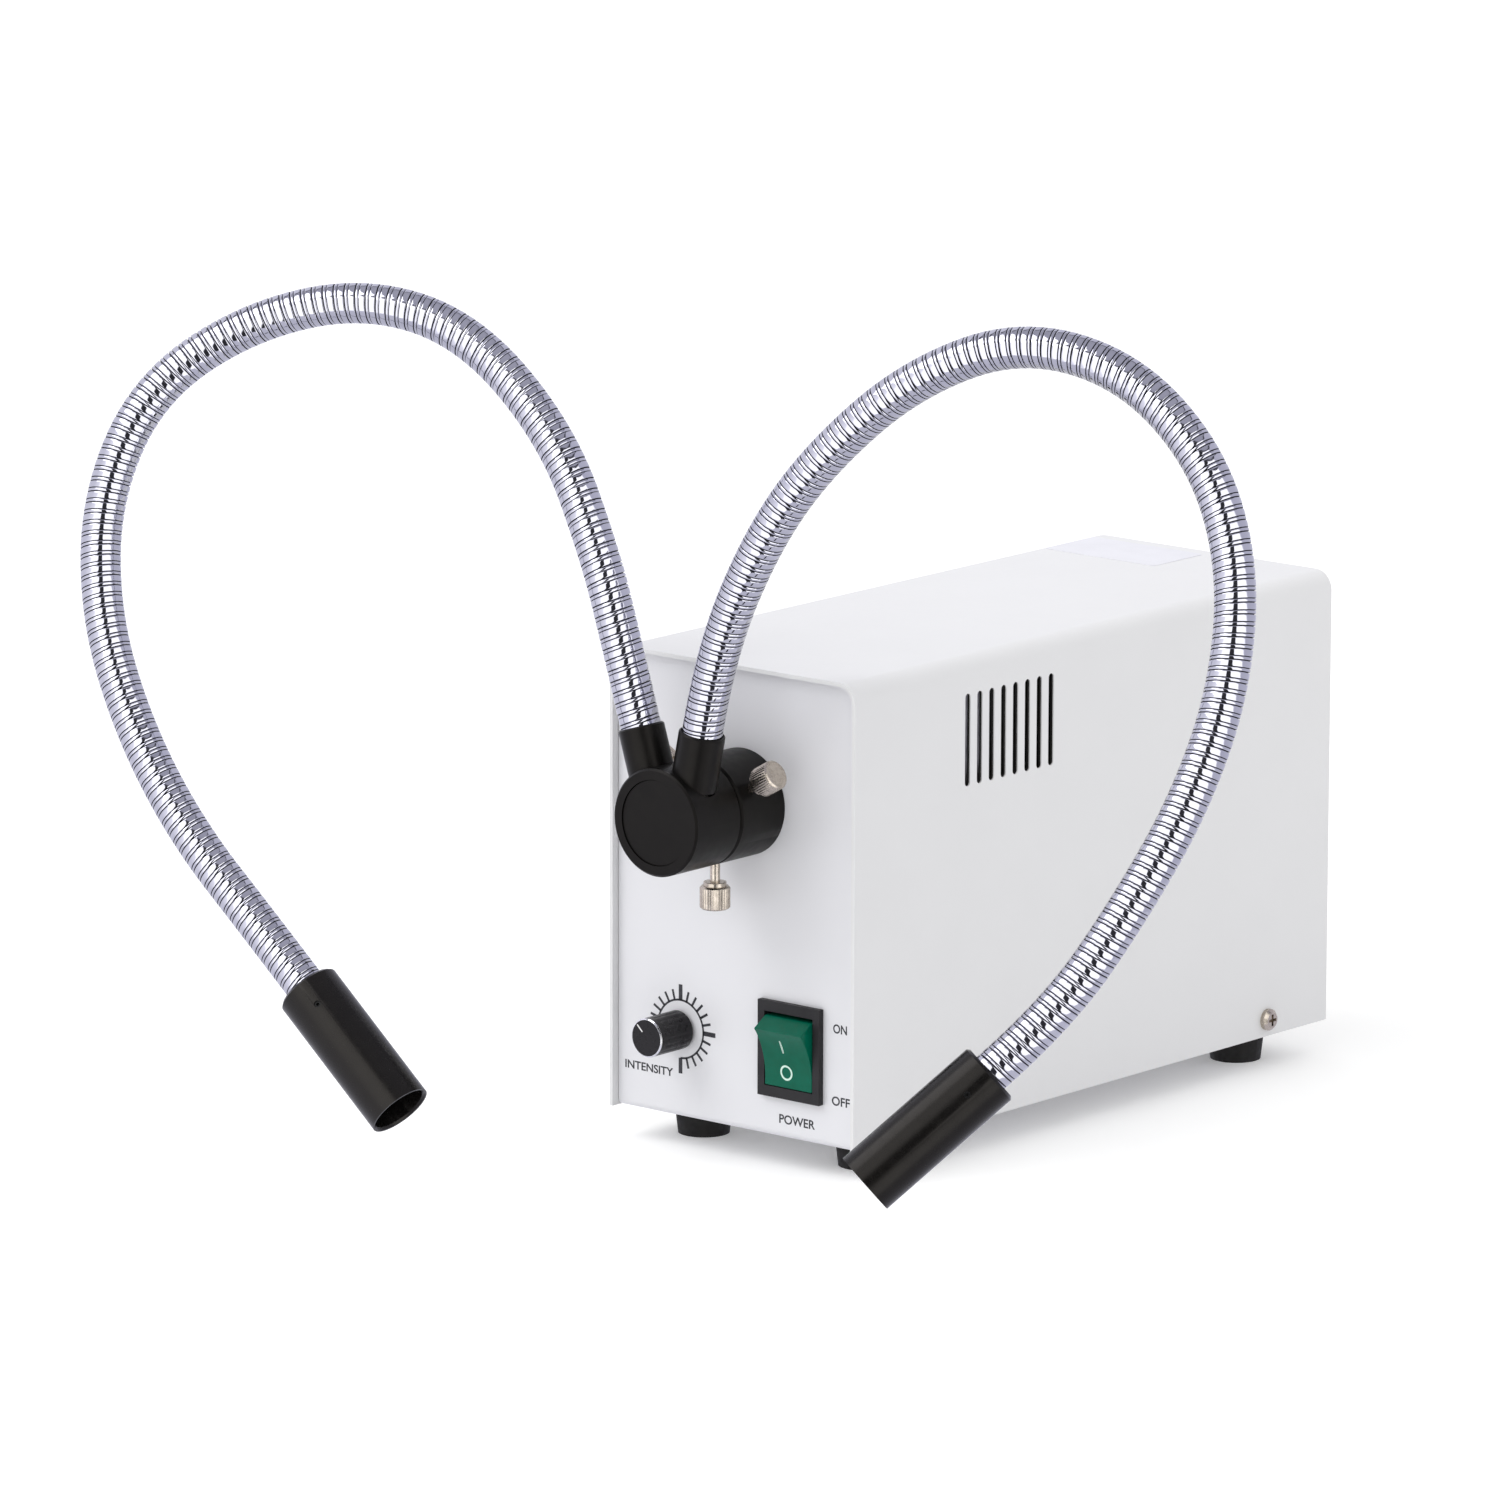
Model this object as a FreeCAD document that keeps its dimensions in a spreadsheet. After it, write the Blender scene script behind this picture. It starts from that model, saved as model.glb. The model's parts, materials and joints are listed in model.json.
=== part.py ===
import FreeCAD
import Part
import Sketcher
import math
import operator
import os
import types
from FreeCAD import Placement, Rotation, Vector

# Fiber optic illuminator. Millimetres and degrees, +Z up, X to the right, Y into the depth.
# The origin lies on the floor, under the middle of the cabinet's plan.
doc = FreeCAD.newDocument("FiberOpticIlluminator")

cabinetSizes = {
    "cabinetWidth": 94.0,
    "cabinetDepth": 227.0,
    "cabinetHeight": 140.0,
    "coverSheet": 1.2,
    "coverCornerRadius": 6.0,
    "coverGap": 0.2,
    "panelRecess": 2.6,
    "chassisSheet": 1.5,
    "chassisBendRadius": 2.2,
    "flangeHeight": 12.0,
    "flangeInset": 6.0,
    "ventCount": 8,
    "ventPitch": 5.57,
    "ventWidth": 2.4,
    "ventLength": 27.8,
    "ventCentreY": -42.2,
    "ventCentreDrop": 24.4,
}
footSizes = {
    "footHeight": 10.0,
    "footTopRadius": 8.9,
    "footBottomRadius": 7.75,
    "footSpacingX": 62.0,
    "footSpacingY": 178.0,
    "footRecessRadius": 4.2,
    "footRecessDepth": 5.0,
}
fastenerSizes = {
    "screwRadius": 1.5,
    "screwGap": 0.2,
    "threadGap": 0.05,
    "nutCircumradius": 3.17,
    "nutThickness": 2.4,
    "panHeadRadius": 3.3,
    "panHeadHeight": 2.2,
    "panHeadDome": 0.9,
    "crossWidth": 0.9,
    "crossLength": 3.6,
    "crossDepth": 1.2,
    "floorScrewLength": 11.0,
    "coverScrewLength": 6.0,
    "coverScrewY": 83.8,
    "coverScrewRise": 5.3,
}
portSizes = {
    "portX": 2.4,
    "portRise": 99.0,
    "collarRadius": 16.0,
    "collarLength": 19.1,
    "collarChamfer": 0.6,
    "neckRadius": 13.0,
    "neckLength": 12.0,
    "neckGap": 0.2,
    "spigotBore": 8.05,
    "clampPlane": 12.6,
    "ringNutRadius": 18.0,
    "ringNutThickness": 5.0,
}
clampSizes = {
    "clampTipGap": 0.3,
    "clampHeadRadius": 4.5,
    "clampHeadLength": 6.9,
    "clampHeadChamfer": 0.6,
    "clampShoulderRadius": 3.4,
    "clampShoulderLength": 1.2,
    "clampHeadBore": 5.0,
    "clampAngle": 60.0,
    "sideClampReach": 19.4,
    "lowerClampReach": 21.9,
}
guideSizes = {
    "spigotRadius": 7.9,
    "spigotTail": 2.0,
    "spigotWall": 2.3,
    "spigotGap": 0.05,
    "hubSeam": 0.4,
    "hubRadius": 16.0,
    "hubLength": 20.1,
    "hubRearWall": 2.5,
    "hubCavityRadius": 12.75,
    "hubChamfer": 0.6,
    "capGap": 0.05,
    "capThickness": 1.5,
    "capInset": 0.4,
    "ferruleRadius": 6.85,
    "ferruleGap": 0.05,
    "ferrulePlane": 30.6,
    "ferruleReach": 28.4,
    "ferruleLength": 16.9,
    "ferruleOffset": 4.8,
    "ferruleSplay": 14.5,
    "hubTurn": -3.0,
    "ferruleChamfer": 0.5,
    "fibreBoreRadius": 3.7,
    "fibreRadius": 3.4,
    "fibreEndGap": 1.4,
}
armSizes = {
    "hoseRadius": 6.0,
    "hoseGrooveRadius": 5.5,
    "hoseBeadRadius": 5.75,
    "ribPitch": 3.2,
    "ballDepth": 4.0,
    "ballGap": 0.3,
    "socketDepth": 6.0,
    "endRun": 25.0,
    "armSpan": 200.0,
}
tipSizes = {
    "tipRadius": 9.45,
    "tipLength": 47.0,
    "tipBoreRadius": 8.25,
    "tipRearBoreRadius": 7.6,
    "tipBoreDepth": 33.0,
    "tipRearChamfer": 0.8,
    "tipRimChamfer": 0.7,
    "tipLensRecess": 12.0,
    "tipLensRadius": 8.0,
    "tipLensThickness": 2.0,
    "tipLensGap": 0.03,
    "grubPlace": 5.0,
    "grubRadius": 1.0,
    "grubGap": 0.02,
    "grubLength": 2.6,
    "grubSocketRadius": 0.5,
    "grubSocketDepth": 1.2,
}
controlSizes = {
    "controlRise": 26.8,
    "knobInset": 25.5,
    "knobRadius": 5.85,
    "knobRearGap": 0.8,
    "knobReach": 15.5,
    "knobChamfer": 0.5,
    "knobFluteCount": 18,
    "knobFluteRadius": 0.45,
    "knobPointerWidth": 0.9,
    "knobPointerDepth": 0.4,
    "knobHollowGap": 0.3,
    "knobMarkAngle": -45.0,
    "shaftRadius": 3.0,
    "shaftReach": 13.0,
    "bushingRadius": 3.5,
    "bushingReach": 5.0,
    "bushingHoleGap": 0.1,
    "potNutCircumradius": 4.8,
    "potNutThickness": 1.6,
    "potRadius": 8.0,
    "potDepth": 10.0,
    "potTagWidth": 1.2,
    "potTagLength": 6.0,
    "potTagThickness": 0.6,
    "potTagPitch": 5.0,
}
switchSizes = {
    "switchInset": 25.4,
    "bezelWidth": 23.6,
    "bezelHeight": 28.8,
    "bezelThickness": 2.0,
    "switchBodyWidth": 21.6,
    "switchBodyHeight": 26.4,
    "switchBodyDepth": 20.0,
    "switchCutoutGap": 0.2,
    "rockerWidth": 17.9,
    "rockerGap": 0.25,
    "rockerWellDepth": 10.4,
    "wellHeight": 22.3,
    "rockerPivotDepth": 4.6,
    "rockerEdgeHeight": 7.4,
    "rockerDish": 1.7,
    "rockerTilt": 16.0,
    "rockerEndDepth": 6.0,
    "rockerTailDepth": 2.4,
    "rockerTailShrink": 0.9,
    "pinRadius": 1.4,
    "pinLength": 1.2,
    "pinGap": 0.05,
    "tagWidth": 6.3,
    "tagThickness": 0.8,
    "tagLength": 8.0,
    "tagSpacingX": 10.0,
    "tagSpacingZ": 9.0,
}
opticsSizes = {
    "barrelRadius": 17.0,
    "barrelBore": 13.3,
    "barrelFront": 7.5,
    "barrelLength": 26.0,
    "lensGap": 0.1,
    "lensPlace": 16.0,
    "lensEdge": 1.5,
    "lensDome": 4.5,
    "lensRingWidth": 1.8,
    "lensRingThickness": 2.0,
    "ledBoardSide": 17.0,
    "ledBoardThickness": 1.6,
    "emitterRadius": 6.0,
    "emitterThickness": 1.2,
    "sinkSideGap": 7.2,
    "sinkHeight": 60.0,
    "sinkBase": 5.0,
    "finHeight": 30.0,
    "finThickness": 1.6,
    "finCount": 11,
    "bracketWidth": 50.0,
    "bracketSheet": 1.5,
    "bracketFoot": 22.0,
    "bracketWebPlace": 18.0,
}
fanSizes = {
    "fanSide": 60.0,
    "fanDepth": 15.0,
    "fanBore": 28.5,
    "fanX": 0.0,
    "fanRise": 97.0,
    "fanHolePitch": 50.0,
    "fanHoleRadius": 2.2,
    "fanMotorRadius": 14.0,
    "fanMotorDepth": 3.0,
    "fanStrutWidth": 3.0,
    "rotorRadius": 13.0,
    "rotorGap": 0.4,
    "bladeTipGap": 0.9,
    "bladeCount": 7,
    "bladeThickness": 1.2,
    "bladeAngle": 38.0,
    "bladeChord": 12.0,
    "rotorRim": 1.5,
    "fanPinRadius": 1.5,
    "fanOpeningRadius": 27.0,
    "fanScrewLength": 19.0,
    "guardWireRadius": 0.8,
    "guardRingCount": 3,
    "guardRingPitch": 8.0,
}
boardSizes = {
    "boardSideGap": 6.1,
    "boardLength": 110.0,
    "boardThickness": 1.6,
    "boardRearGap": 32.4,
    "boardInset": 4.0,
    "standoffHeight": 6.0,
    "standoffCircumradius": 3.17,
    "boardScrewLength": 4.0,
    "transformerWidth": 34.0,
    "transformerLength": 30.0,
    "transformerHeight": 28.0,
    "transformerCoreHeight": 12.0,
    "transformerCoilInset": 4.0,
    "transformerForward": 6.0,
    "capacitorRadius": 9.0,
    "capacitorHeight": 28.0,
    "capacitorPitch": 21.0,
    "capacitorForward": -4.0,
    "capacitorChamfer": 1.0,
    "terminalWidth": 20.0,
    "terminalLength": 9.0,
    "terminalHeight": 10.0,
    "terminalHoleRadius": 1.6,
    "terminalHoleDepth": 4.0,
    "fuseRadius": 2.6,
    "fuseLength": 20.0,
    "fuseCapLength": 5.0,
    "fuseForward": 30.0,
    "fuseRise": 5.0,
}
inletSizes = {
    "inletInset": 35.0,
    "inletRise": 28.0,
    "inletFlangeWidth": 50.0,
    "inletFlangeHeight": 24.0,
    "inletFlangeThickness": 2.5,
    "inletFlangeCorner": 4.0,
    "inletBodyWidth": 27.4,
    "inletBodyHeight": 20.0,
    "inletBodyDepth": 17.5,
    "inletCutoutGap": 0.2,
    "inletCavityWidth": 24.6,
    "inletCavityHeight": 16.6,
    "inletCavityDepth": 16.0,
    "inletCavityCorner": 4.5,
    "inletScrewPitch": 40.0,
    "bladeWidth": 4.0,
    "bladeHeight": 2.0,
    "bladeLength": 14.0,
    "bladePitch": 14.0,
    "earthRise": 4.0,
    "lineDrop": 2.0,
    "inletScrewLength": 9.0,
}
leadSizes = {
    "leadRadius": 1.4,
    "leadGap": 0.3,
    "leadBend": 8.0,
}
sizeTables = (
    cabinetSizes, footSizes, fastenerSizes, portSizes, clampSizes, guideSizes, armSizes, tipSizes,
    controlSizes, switchSizes, opticsSizes, fanSizes, boardSizes, inletSizes, leadSizes,
)

# Points of each gooseneck's centre line after its straight first run and before its straight last
# run, from the middle of the ferrule's mouth, as shares of the arm span.
leftArmShares = (
    (-0.080, 0.003, 0.240), (-0.180, 0.022, 0.405), (-0.340, 0.008, 0.545), (-0.495, -0.052, 0.585),
    (-0.645, -0.142, 0.540), (-0.750, -0.242, 0.440), (-0.775, -0.318, 0.285), (-0.730, -0.368, 0.120),
    (-0.640, -0.392, -0.035), (-0.525, -0.402, -0.170),
)
leftEndShare = (-0.305, -0.388, -0.370)
leftTipShare = (0.752, 0.015, -0.659)
rightArmShares = (
    (0.102, 0.012, 0.295), (0.187, 0.038, 0.420), (0.317, 0.082, 0.545), (0.472, 0.138, 0.615),
    (0.637, 0.178, 0.585), (0.772, 0.188, 0.475), (0.847, 0.168, 0.330), (0.872, 0.118, 0.165),
    (0.867, 0.038, 0.015), (0.832, -0.048, -0.125),
)
rightEndShare = (0.712, -0.212, -0.355)
rightTipShare = (-0.483, -0.589, -0.648)
tipScrewFacing = (0.63, -0.75, 0.21)
arcRunShare = 0.45
ribShares = (0, 0.12, 0.66, 0.78)
ballShares = (1, 0.75, 0.5, 0.25)
lensEdgeShares = (0.87, 0.71, 0.5)
lensDomeShares = (0.25, 0.5, 0.75)
terminalShare = 0.3
transformerPlaceShare = -0.185
capacitorPlaceShare = 0.263
fusePlaceShare = 0.185
uprightShare = 0.9

operations = {
    "+": operator.add,
    "-": operator.sub,
    "*": operator.mul,
    "/": operator.truediv,
}


class Size:
    """A number, and the expression over the sheet's cells that gives it."""

    def __init__(self, value, text):
        self.value = value
        self.text = text

    def __add__(self, other):
        return combined(self, other, "+")

    def __radd__(self, other):
        return combined(other, self, "+")

    def __sub__(self, other):
        return combined(self, other, "-")

    def __rsub__(self, other):
        return combined(other, self, "-")

    def __mul__(self, other):
        return combined(self, other, "*")

    def __rmul__(self, other):
        return combined(other, self, "*")

    def __truediv__(self, other):
        return combined(self, other, "/")

    def __neg__(self):
        return combined(0, self, "-")


def asSize(number):
    if isinstance(number, Size):
        return number
    return Size(float(number), repr(float(number)))


def combined(first, second, sign):
    first = asSize(first)
    second = asSize(second)
    value = operations[sign](first.value, second.value)
    return Size(value, "(" + first.text + " " + sign + " " + second.text + ")")


def sine(angle):
    angle = asSize(angle)
    return Size(math.sin(math.radians(angle.value)), "sin(" + angle.text + " * 1 deg)")


def cosine(angle):
    angle = asSize(angle)
    return Size(math.cos(math.radians(angle.value)), "cos(" + angle.text + " * 1 deg)")


def readSizes():
    sheet = doc.addObject("Spreadsheet::Sheet", "Sizes")
    found = {}
    row = 0
    for table in sizeTables:
        for alias, value in table.items():
            row += 1
            sheet.set("A" + str(row), alias)
            sheet.set("B" + str(row), str(value))
            sheet.setAlias("B" + str(row), alias)
            found[alias] = Size(float(value), "Sizes." + alias)
    doc.recompute()
    return types.SimpleNamespace(**found)


s = readSizes()

# Places that several pieces share.
bottomZ = s.footHeight
floorTop = bottomZ + s.chassisSheet
topZ = s.footHeight + s.cabinetHeight
panelFace = s.panelRecess - s.cabinetDepth / 2
panelInner = panelFace + s.chassisSheet
rearFace = -panelFace
rearInner = rearFace - s.chassisSheet
wallTop = topZ - s.coverSheet - s.coverGap
chassisHalf = s.cabinetWidth / 2 - s.coverSheet - s.coverGap
portZ = bottomZ + s.portRise
controlZ = bottomZ + s.controlRise
fanZ = bottomZ + s.fanRise
inletZ = bottomZ + s.inletRise
coverScrewZ = bottomZ + s.coverScrewRise
knobX = s.knobInset - s.cabinetWidth / 2
switchX = s.cabinetWidth / 2 - s.switchInset
inletX = s.cabinetWidth / 2 - s.inletInset
sinkWidth = (chassisHalf - s.portX - s.sinkSideGap) * 2
boardWidth = (chassisHalf - s.chassisSheet - s.boardSideGap) * 2
boardCentreY = rearInner - s.boardRearGap - s.boardLength / 2
transformerX = boardWidth * transformerPlaceShare
transformerY = boardCentreY + s.transformerForward
capacitorX = boardWidth * capacitorPlaceShare
capacitorY = boardCentreY + s.capacitorForward
fuseX = boardWidth * fusePlaceShare
fuseY = boardCentreY + s.fuseForward
boardBottom = floorTop + s.standoffHeight
boardTop = boardBottom + s.boardThickness
footCorners = [(x * s.footSpacingX / 2, y * s.footSpacingY / 2) for x in (-1, 1) for y in (-1, 1)]
boardCorners = [
    (x * (boardWidth / 2 - s.boardInset), boardCentreY + y * (s.boardLength / 2 - s.boardInset))
    for x in (-1, 1) for y in (-1, 1)
]
fanCorners = [
    (s.fanX + x * s.fanHolePitch / 2, fanZ + z * s.fanHolePitch / 2) for x in (-1, 1) for z in (-1, 1)
]
inletScrewPlaces = [(inletX + side * s.inletScrewPitch / 2, inletZ) for side in (-1, 1)]
forward = Rotation(Vector(1, 0, 0), 90)
backward = Rotation(Vector(1, 0, 0), -90)
upright = Rotation()
pieces = []


# Drawing and feature helpers.
def keep(piece, label):
    piece.Label = label
    pieces.append(piece)
    return piece


def place(piece, x, y, z, turn=upright):
    piece.Placement = Placement(Vector(asSize(x).value, asSize(y).value, asSize(z).value), turn)
    for axis, size in (("x", x), ("y", y), ("z", z)):
        piece.setExpression("Placement.Base." + axis, asSize(size).text)
    return piece


def lean(piece, angle, axis=Vector(0, 1, 0)):
    """Turn a placed piece about an axis of the row by an angle of the sheet."""
    piece.Placement = Placement(piece.Placement.Base, Rotation(axis, asSize(angle).value))
    return piece


def newBody(name):
    body = doc.addObject("PartDesign::Body", name)
    body.AllowCompound = True
    return body


def originPlane(body, role):
    return [item for item in body.Origin.OriginFeatures if item.Role == role][0]


def outline(*corners):
    return ("outline", [(asSize(x), asSize(y)) for x, y in corners])


def rectangle(x, y, width, height):
    left, right = x - width / 2, x + width / 2
    low, high = y - height / 2, y + height / 2
    return outline((left, low), (right, low), (right, high), (left, high))


def circle(x, y, radius):
    return ("circle", (asSize(x), asSize(y), asSize(radius)))


def pinPoint(sketch, name, geometry, point, x, y):
    for kind, size, axis in (("DistanceX", x, -2), ("DistanceY", y, -1)):
        if size.value == 0:
            sketch.addConstraint(Sketcher.Constraint("PointOnObject", geometry, point, axis))
        else:
            row = sketch.addConstraint(Sketcher.Constraint(kind, -1, 1, geometry, point, size.value))
            label = name + kind[-1]
            sketch.renameConstraint(row, label)
            sketch.setExpression("Constraints." + label, size.text)


def drawOutline(sketch, corners, name):
    count = len(corners)
    spots = [Vector(x.value, y.value, 0) for x, y in corners]
    lines = []
    for i in range(count):
        lines.append(sketch.addGeometry(Part.LineSegment(spots[i], spots[(i + 1) % count]), False))
    for i in range(count):
        sketch.addConstraint(Sketcher.Constraint("Coincident", lines[i], 2, lines[(i + 1) % count], 1))
    for i in range(count):
        pinPoint(sketch, name + "p" + str(i), lines[i], 1, corners[i][0], corners[i][1])


def drawCircle(sketch, x, y, radius, name):
    ring = Part.Circle(Vector(x.value, y.value, 0), Vector(0, 0, 1), radius.value)
    geometry = sketch.addGeometry(ring, False)
    row = sketch.addConstraint(Sketcher.Constraint("Radius", geometry, radius.value))
    sketch.renameConstraint(row, name + "r")
    sketch.setExpression("Constraints." + name + "r", radius.text)
    pinPoint(sketch, name, geometry, 3, x, y)


def draw(body, role, shapes, offset=None):
    """A sketch on one of the body's origin planes, with its outlines and circles pinned to the sheet."""
    sketch = body.newObject("Sketcher::SketchObject", body.Name + "Sketch")
    sketch.AttachmentSupport = [(originPlane(body, role), "")]
    sketch.MapMode = "FlatFace"
    if offset is not None:
        sketch.AttachmentOffset = Placement(Vector(0, 0, offset.value), Rotation())
        sketch.setExpression("AttachmentOffset.Base.z", offset.text)
    for i, (kind, data) in enumerate(shapes):
        if kind == "outline":
            drawOutline(sketch, data, "o" + str(i))
        else:
            drawCircle(sketch, data[0], data[1], data[2], "c" + str(i))
    sketch.Visibility = False
    return sketch


def pad(body, role, shapes, length, midplane=False, offset=None, back=False):
    feature = body.newObject("PartDesign::Pad", body.Name + "Pad")
    feature.Profile = draw(body, role, shapes, offset)
    feature.Length = asSize(length).value
    feature.setExpression("Length", asSize(length).text)
    feature.Midplane = midplane
    feature.Reversed = back
    body.Tip = feature
    return feature


def pocket(body, role, shapes, length=None, midplane=False, offset=None, back=False):
    """A cut from a sketch. Without a length it goes right through."""
    feature = body.newObject("PartDesign::Pocket", body.Name + "Pocket")
    feature.Profile = draw(body, role, shapes, offset)
    if length is None:
        feature.Type = 1
    else:
        feature.Length = asSize(length).value
        feature.setExpression("Length", asSize(length).text)
    feature.Midplane = midplane
    feature.Reversed = back
    body.Tip = feature
    return feature


def turned(name, *corners):
    """A body turned about its own Z axis from (radius, height) corners."""
    body = newBody(name)
    sketch = draw(body, "XZ_Plane", [outline(*corners)])
    feature = body.newObject("PartDesign::Revolution", name + "Turned")
    feature.Profile = sketch
    feature.ReferenceAxis = (sketch, ["V_Axis"])
    feature.Angle = 360
    body.Tip = feature
    return body


def turnedSleeve(name, bore, radius, low, high):
    return turned(name, (bore, low), (radius, low), (radius, high), (bore, high))


def rounded(body, radius, chosen):
    """A fillet on the edges of the body's tip that the test picks."""
    doc.recompute()
    tip = body.Tip
    names = ["Edge" + str(i + 1) for i, edge in enumerate(tip.Shape.Edges) if chosen(edge)]
    feature = body.newObject("PartDesign::Fillet", body.Name + "Fillet")
    feature.Base = (tip, names)
    feature.Radius = radius.value
    feature.setExpression("Radius", radius.text)
    body.Tip = feature
    return feature


def nearly(first, second):
    return abs(first - second) < abs(s.coverGap.value) / 2


def box(name, x, y, z):
    """A block between pairs of limits."""
    block = doc.addObject("Part::Box", name)
    for prop, (low, high) in (("Length", x), ("Width", y), ("Height", z)):
        size = asSize(high) - asSize(low)
        setattr(block, prop, size.value)
        block.setExpression(prop, size.text)
    return place(block, x[0], y[0], z[0])


def rod(name, radius, x, y, z, length, turn=upright):
    solid = doc.addObject("Part::Cylinder", name)
    solid.Radius = asSize(radius).value
    solid.setExpression("Radius", asSize(radius).text)
    solid.Height = asSize(length).value
    solid.setExpression("Height", asSize(length).text)
    return place(solid, x, y, z, turn)


def hexagon(name, circumradius, x, y, z, length, turn=upright):
    solid = doc.addObject("Part::Prism", name)
    solid.Polygon = 6
    solid.Circumradius = asSize(circumradius).value
    solid.setExpression("Circumradius", asSize(circumradius).text)
    solid.Height = asSize(length).value
    solid.setExpression("Height", asSize(length).text)
    return place(solid, x, y, z, turn)


def joined(name, solids):
    if len(solids) == 1:
        return solids[0]
    feature = doc.addObject("Part::MultiFuse", name)
    feature.Shapes = solids
    feature.Refine = True
    return feature


def cut(name, base, tools):
    feature = doc.addObject("Part::Cut", name)
    feature.Base = base
    feature.Tool = joined(name + "Tools", tools)
    return feature


def group(name, solids):
    feature = doc.addObject("Part::Compound", name)
    feature.Links = solids
    return feature


def panScrew(name, length, x, y, z, turn, shank=None):
    """A cross-recessed pan head screw: its head stands along the turned Z axis, its shank runs back."""
    shank = s.screwRadius if shank is None else shank
    shoulder = s.panHeadHeight - s.panHeadDome
    body = turned(
        name, (0, -length), (shank, -length), (shank, 0), (s.panHeadRadius, 0),
        (s.panHeadRadius, shoulder), (s.panHeadRadius - s.panHeadDome, s.panHeadHeight),
        (0, s.panHeadHeight),
    )
    slots = [rectangle(asSize(0), asSize(0), s.crossLength, s.crossWidth)]
    pocket(body, "XY_Plane", slots, s.crossDepth, offset=s.panHeadHeight)
    slots = [rectangle(asSize(0), asSize(0), s.crossWidth, s.crossLength)]
    pocket(body, "XY_Plane", slots, s.crossDepth, offset=s.panHeadHeight)
    return place(body, x, y, z, turn)


def hexNut(name, x, y, z, turn=upright):
    blank = hexagon(name + "Blank", s.nutCircumradius, x, y, z, s.nutThickness, turn)
    hole = rod(name + "Hole", s.screwRadius + s.threadGap, x, y, z, s.nutThickness, turn)
    return cut(name, blank, [hole])


# The route of a hose or lead: straight runs joined by tangent arcs.
def tangentArcs(points):
    """Each inner point's arc: where it starts, its middle, where it ends, and its radius."""
    arcs = []
    for before, point, after in zip(points, points[1:], points[2:]):
        back = before - point
        ahead = after - point
        reach = arcRunShare * min(back.Length, ahead.Length)
        back.normalize()
        ahead.normalize()
        turn = math.pi - back.getAngle(ahead)
        radius = reach / math.tan(turn / 2)
        inward = (back + ahead).normalize()
        centre = point + inward * math.hypot(radius, reach)
        arcs.append((point + back * reach, centre - inward * radius, point + ahead * reach, radius))
    return arcs


def routeWire(points):
    edges = []
    last = points[0]
    for start, middle, end, radius in tangentArcs(points):
        edges.append(Part.LineSegment(last, start).toShape())
        edges.append(Part.Arc(start, middle, end).toShape())
        last = end
    edges.append(Part.LineSegment(last, points[-1]).toShape())
    return Part.Wire(edges)


def spotsAlong(wire, distances):
    """Points and directions at given distances along a wire."""
    found = []
    edges = wire.OrderedEdges
    for distance in distances:
        left = distance
        for edge in edges:
            if left <= edge.Length or edge is edges[-1]:
                break
            left -= edge.Length
        parameter = edge.getParameterByLength(min(max(left, 0), edge.Length))
        found.append((edge.valueAt(parameter), edge.tangentAt(parameter)))
    return found


def crossSection(spot, direction, steady, radius):
    """A circle square to the route, whose X axis stays as near as it can to a steady direction."""
    across = (steady - direction * steady.dot(direction)).normalize()
    ring = Part.Wire(Part.makeCircle(radius))
    ring.Placement = Placement(spot, Rotation(across, direction.cross(across), direction, "ZXY"))
    return ring


def tubeAlong(wire, radius, name):
    start, direction = spotsAlong(wire, [0])[0]
    steady = Vector(0, 0, 1) if abs(direction.z) < uprightShare else Vector(1, 0, 0)
    ring = crossSection(start, direction, steady, radius)
    tube = wire.makePipeShell([ring], True, False)
    expected = math.pi * radius * radius * wire.Length
    print(name, "volume over section times length", round(tube.Volume / expected, 4))
    return tube


def feature(name, shape):
    solid = doc.addObject("Part::Feature", name)
    solid.Shape = shape
    solid.Placement = Placement()
    return keep(solid, name)


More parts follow.
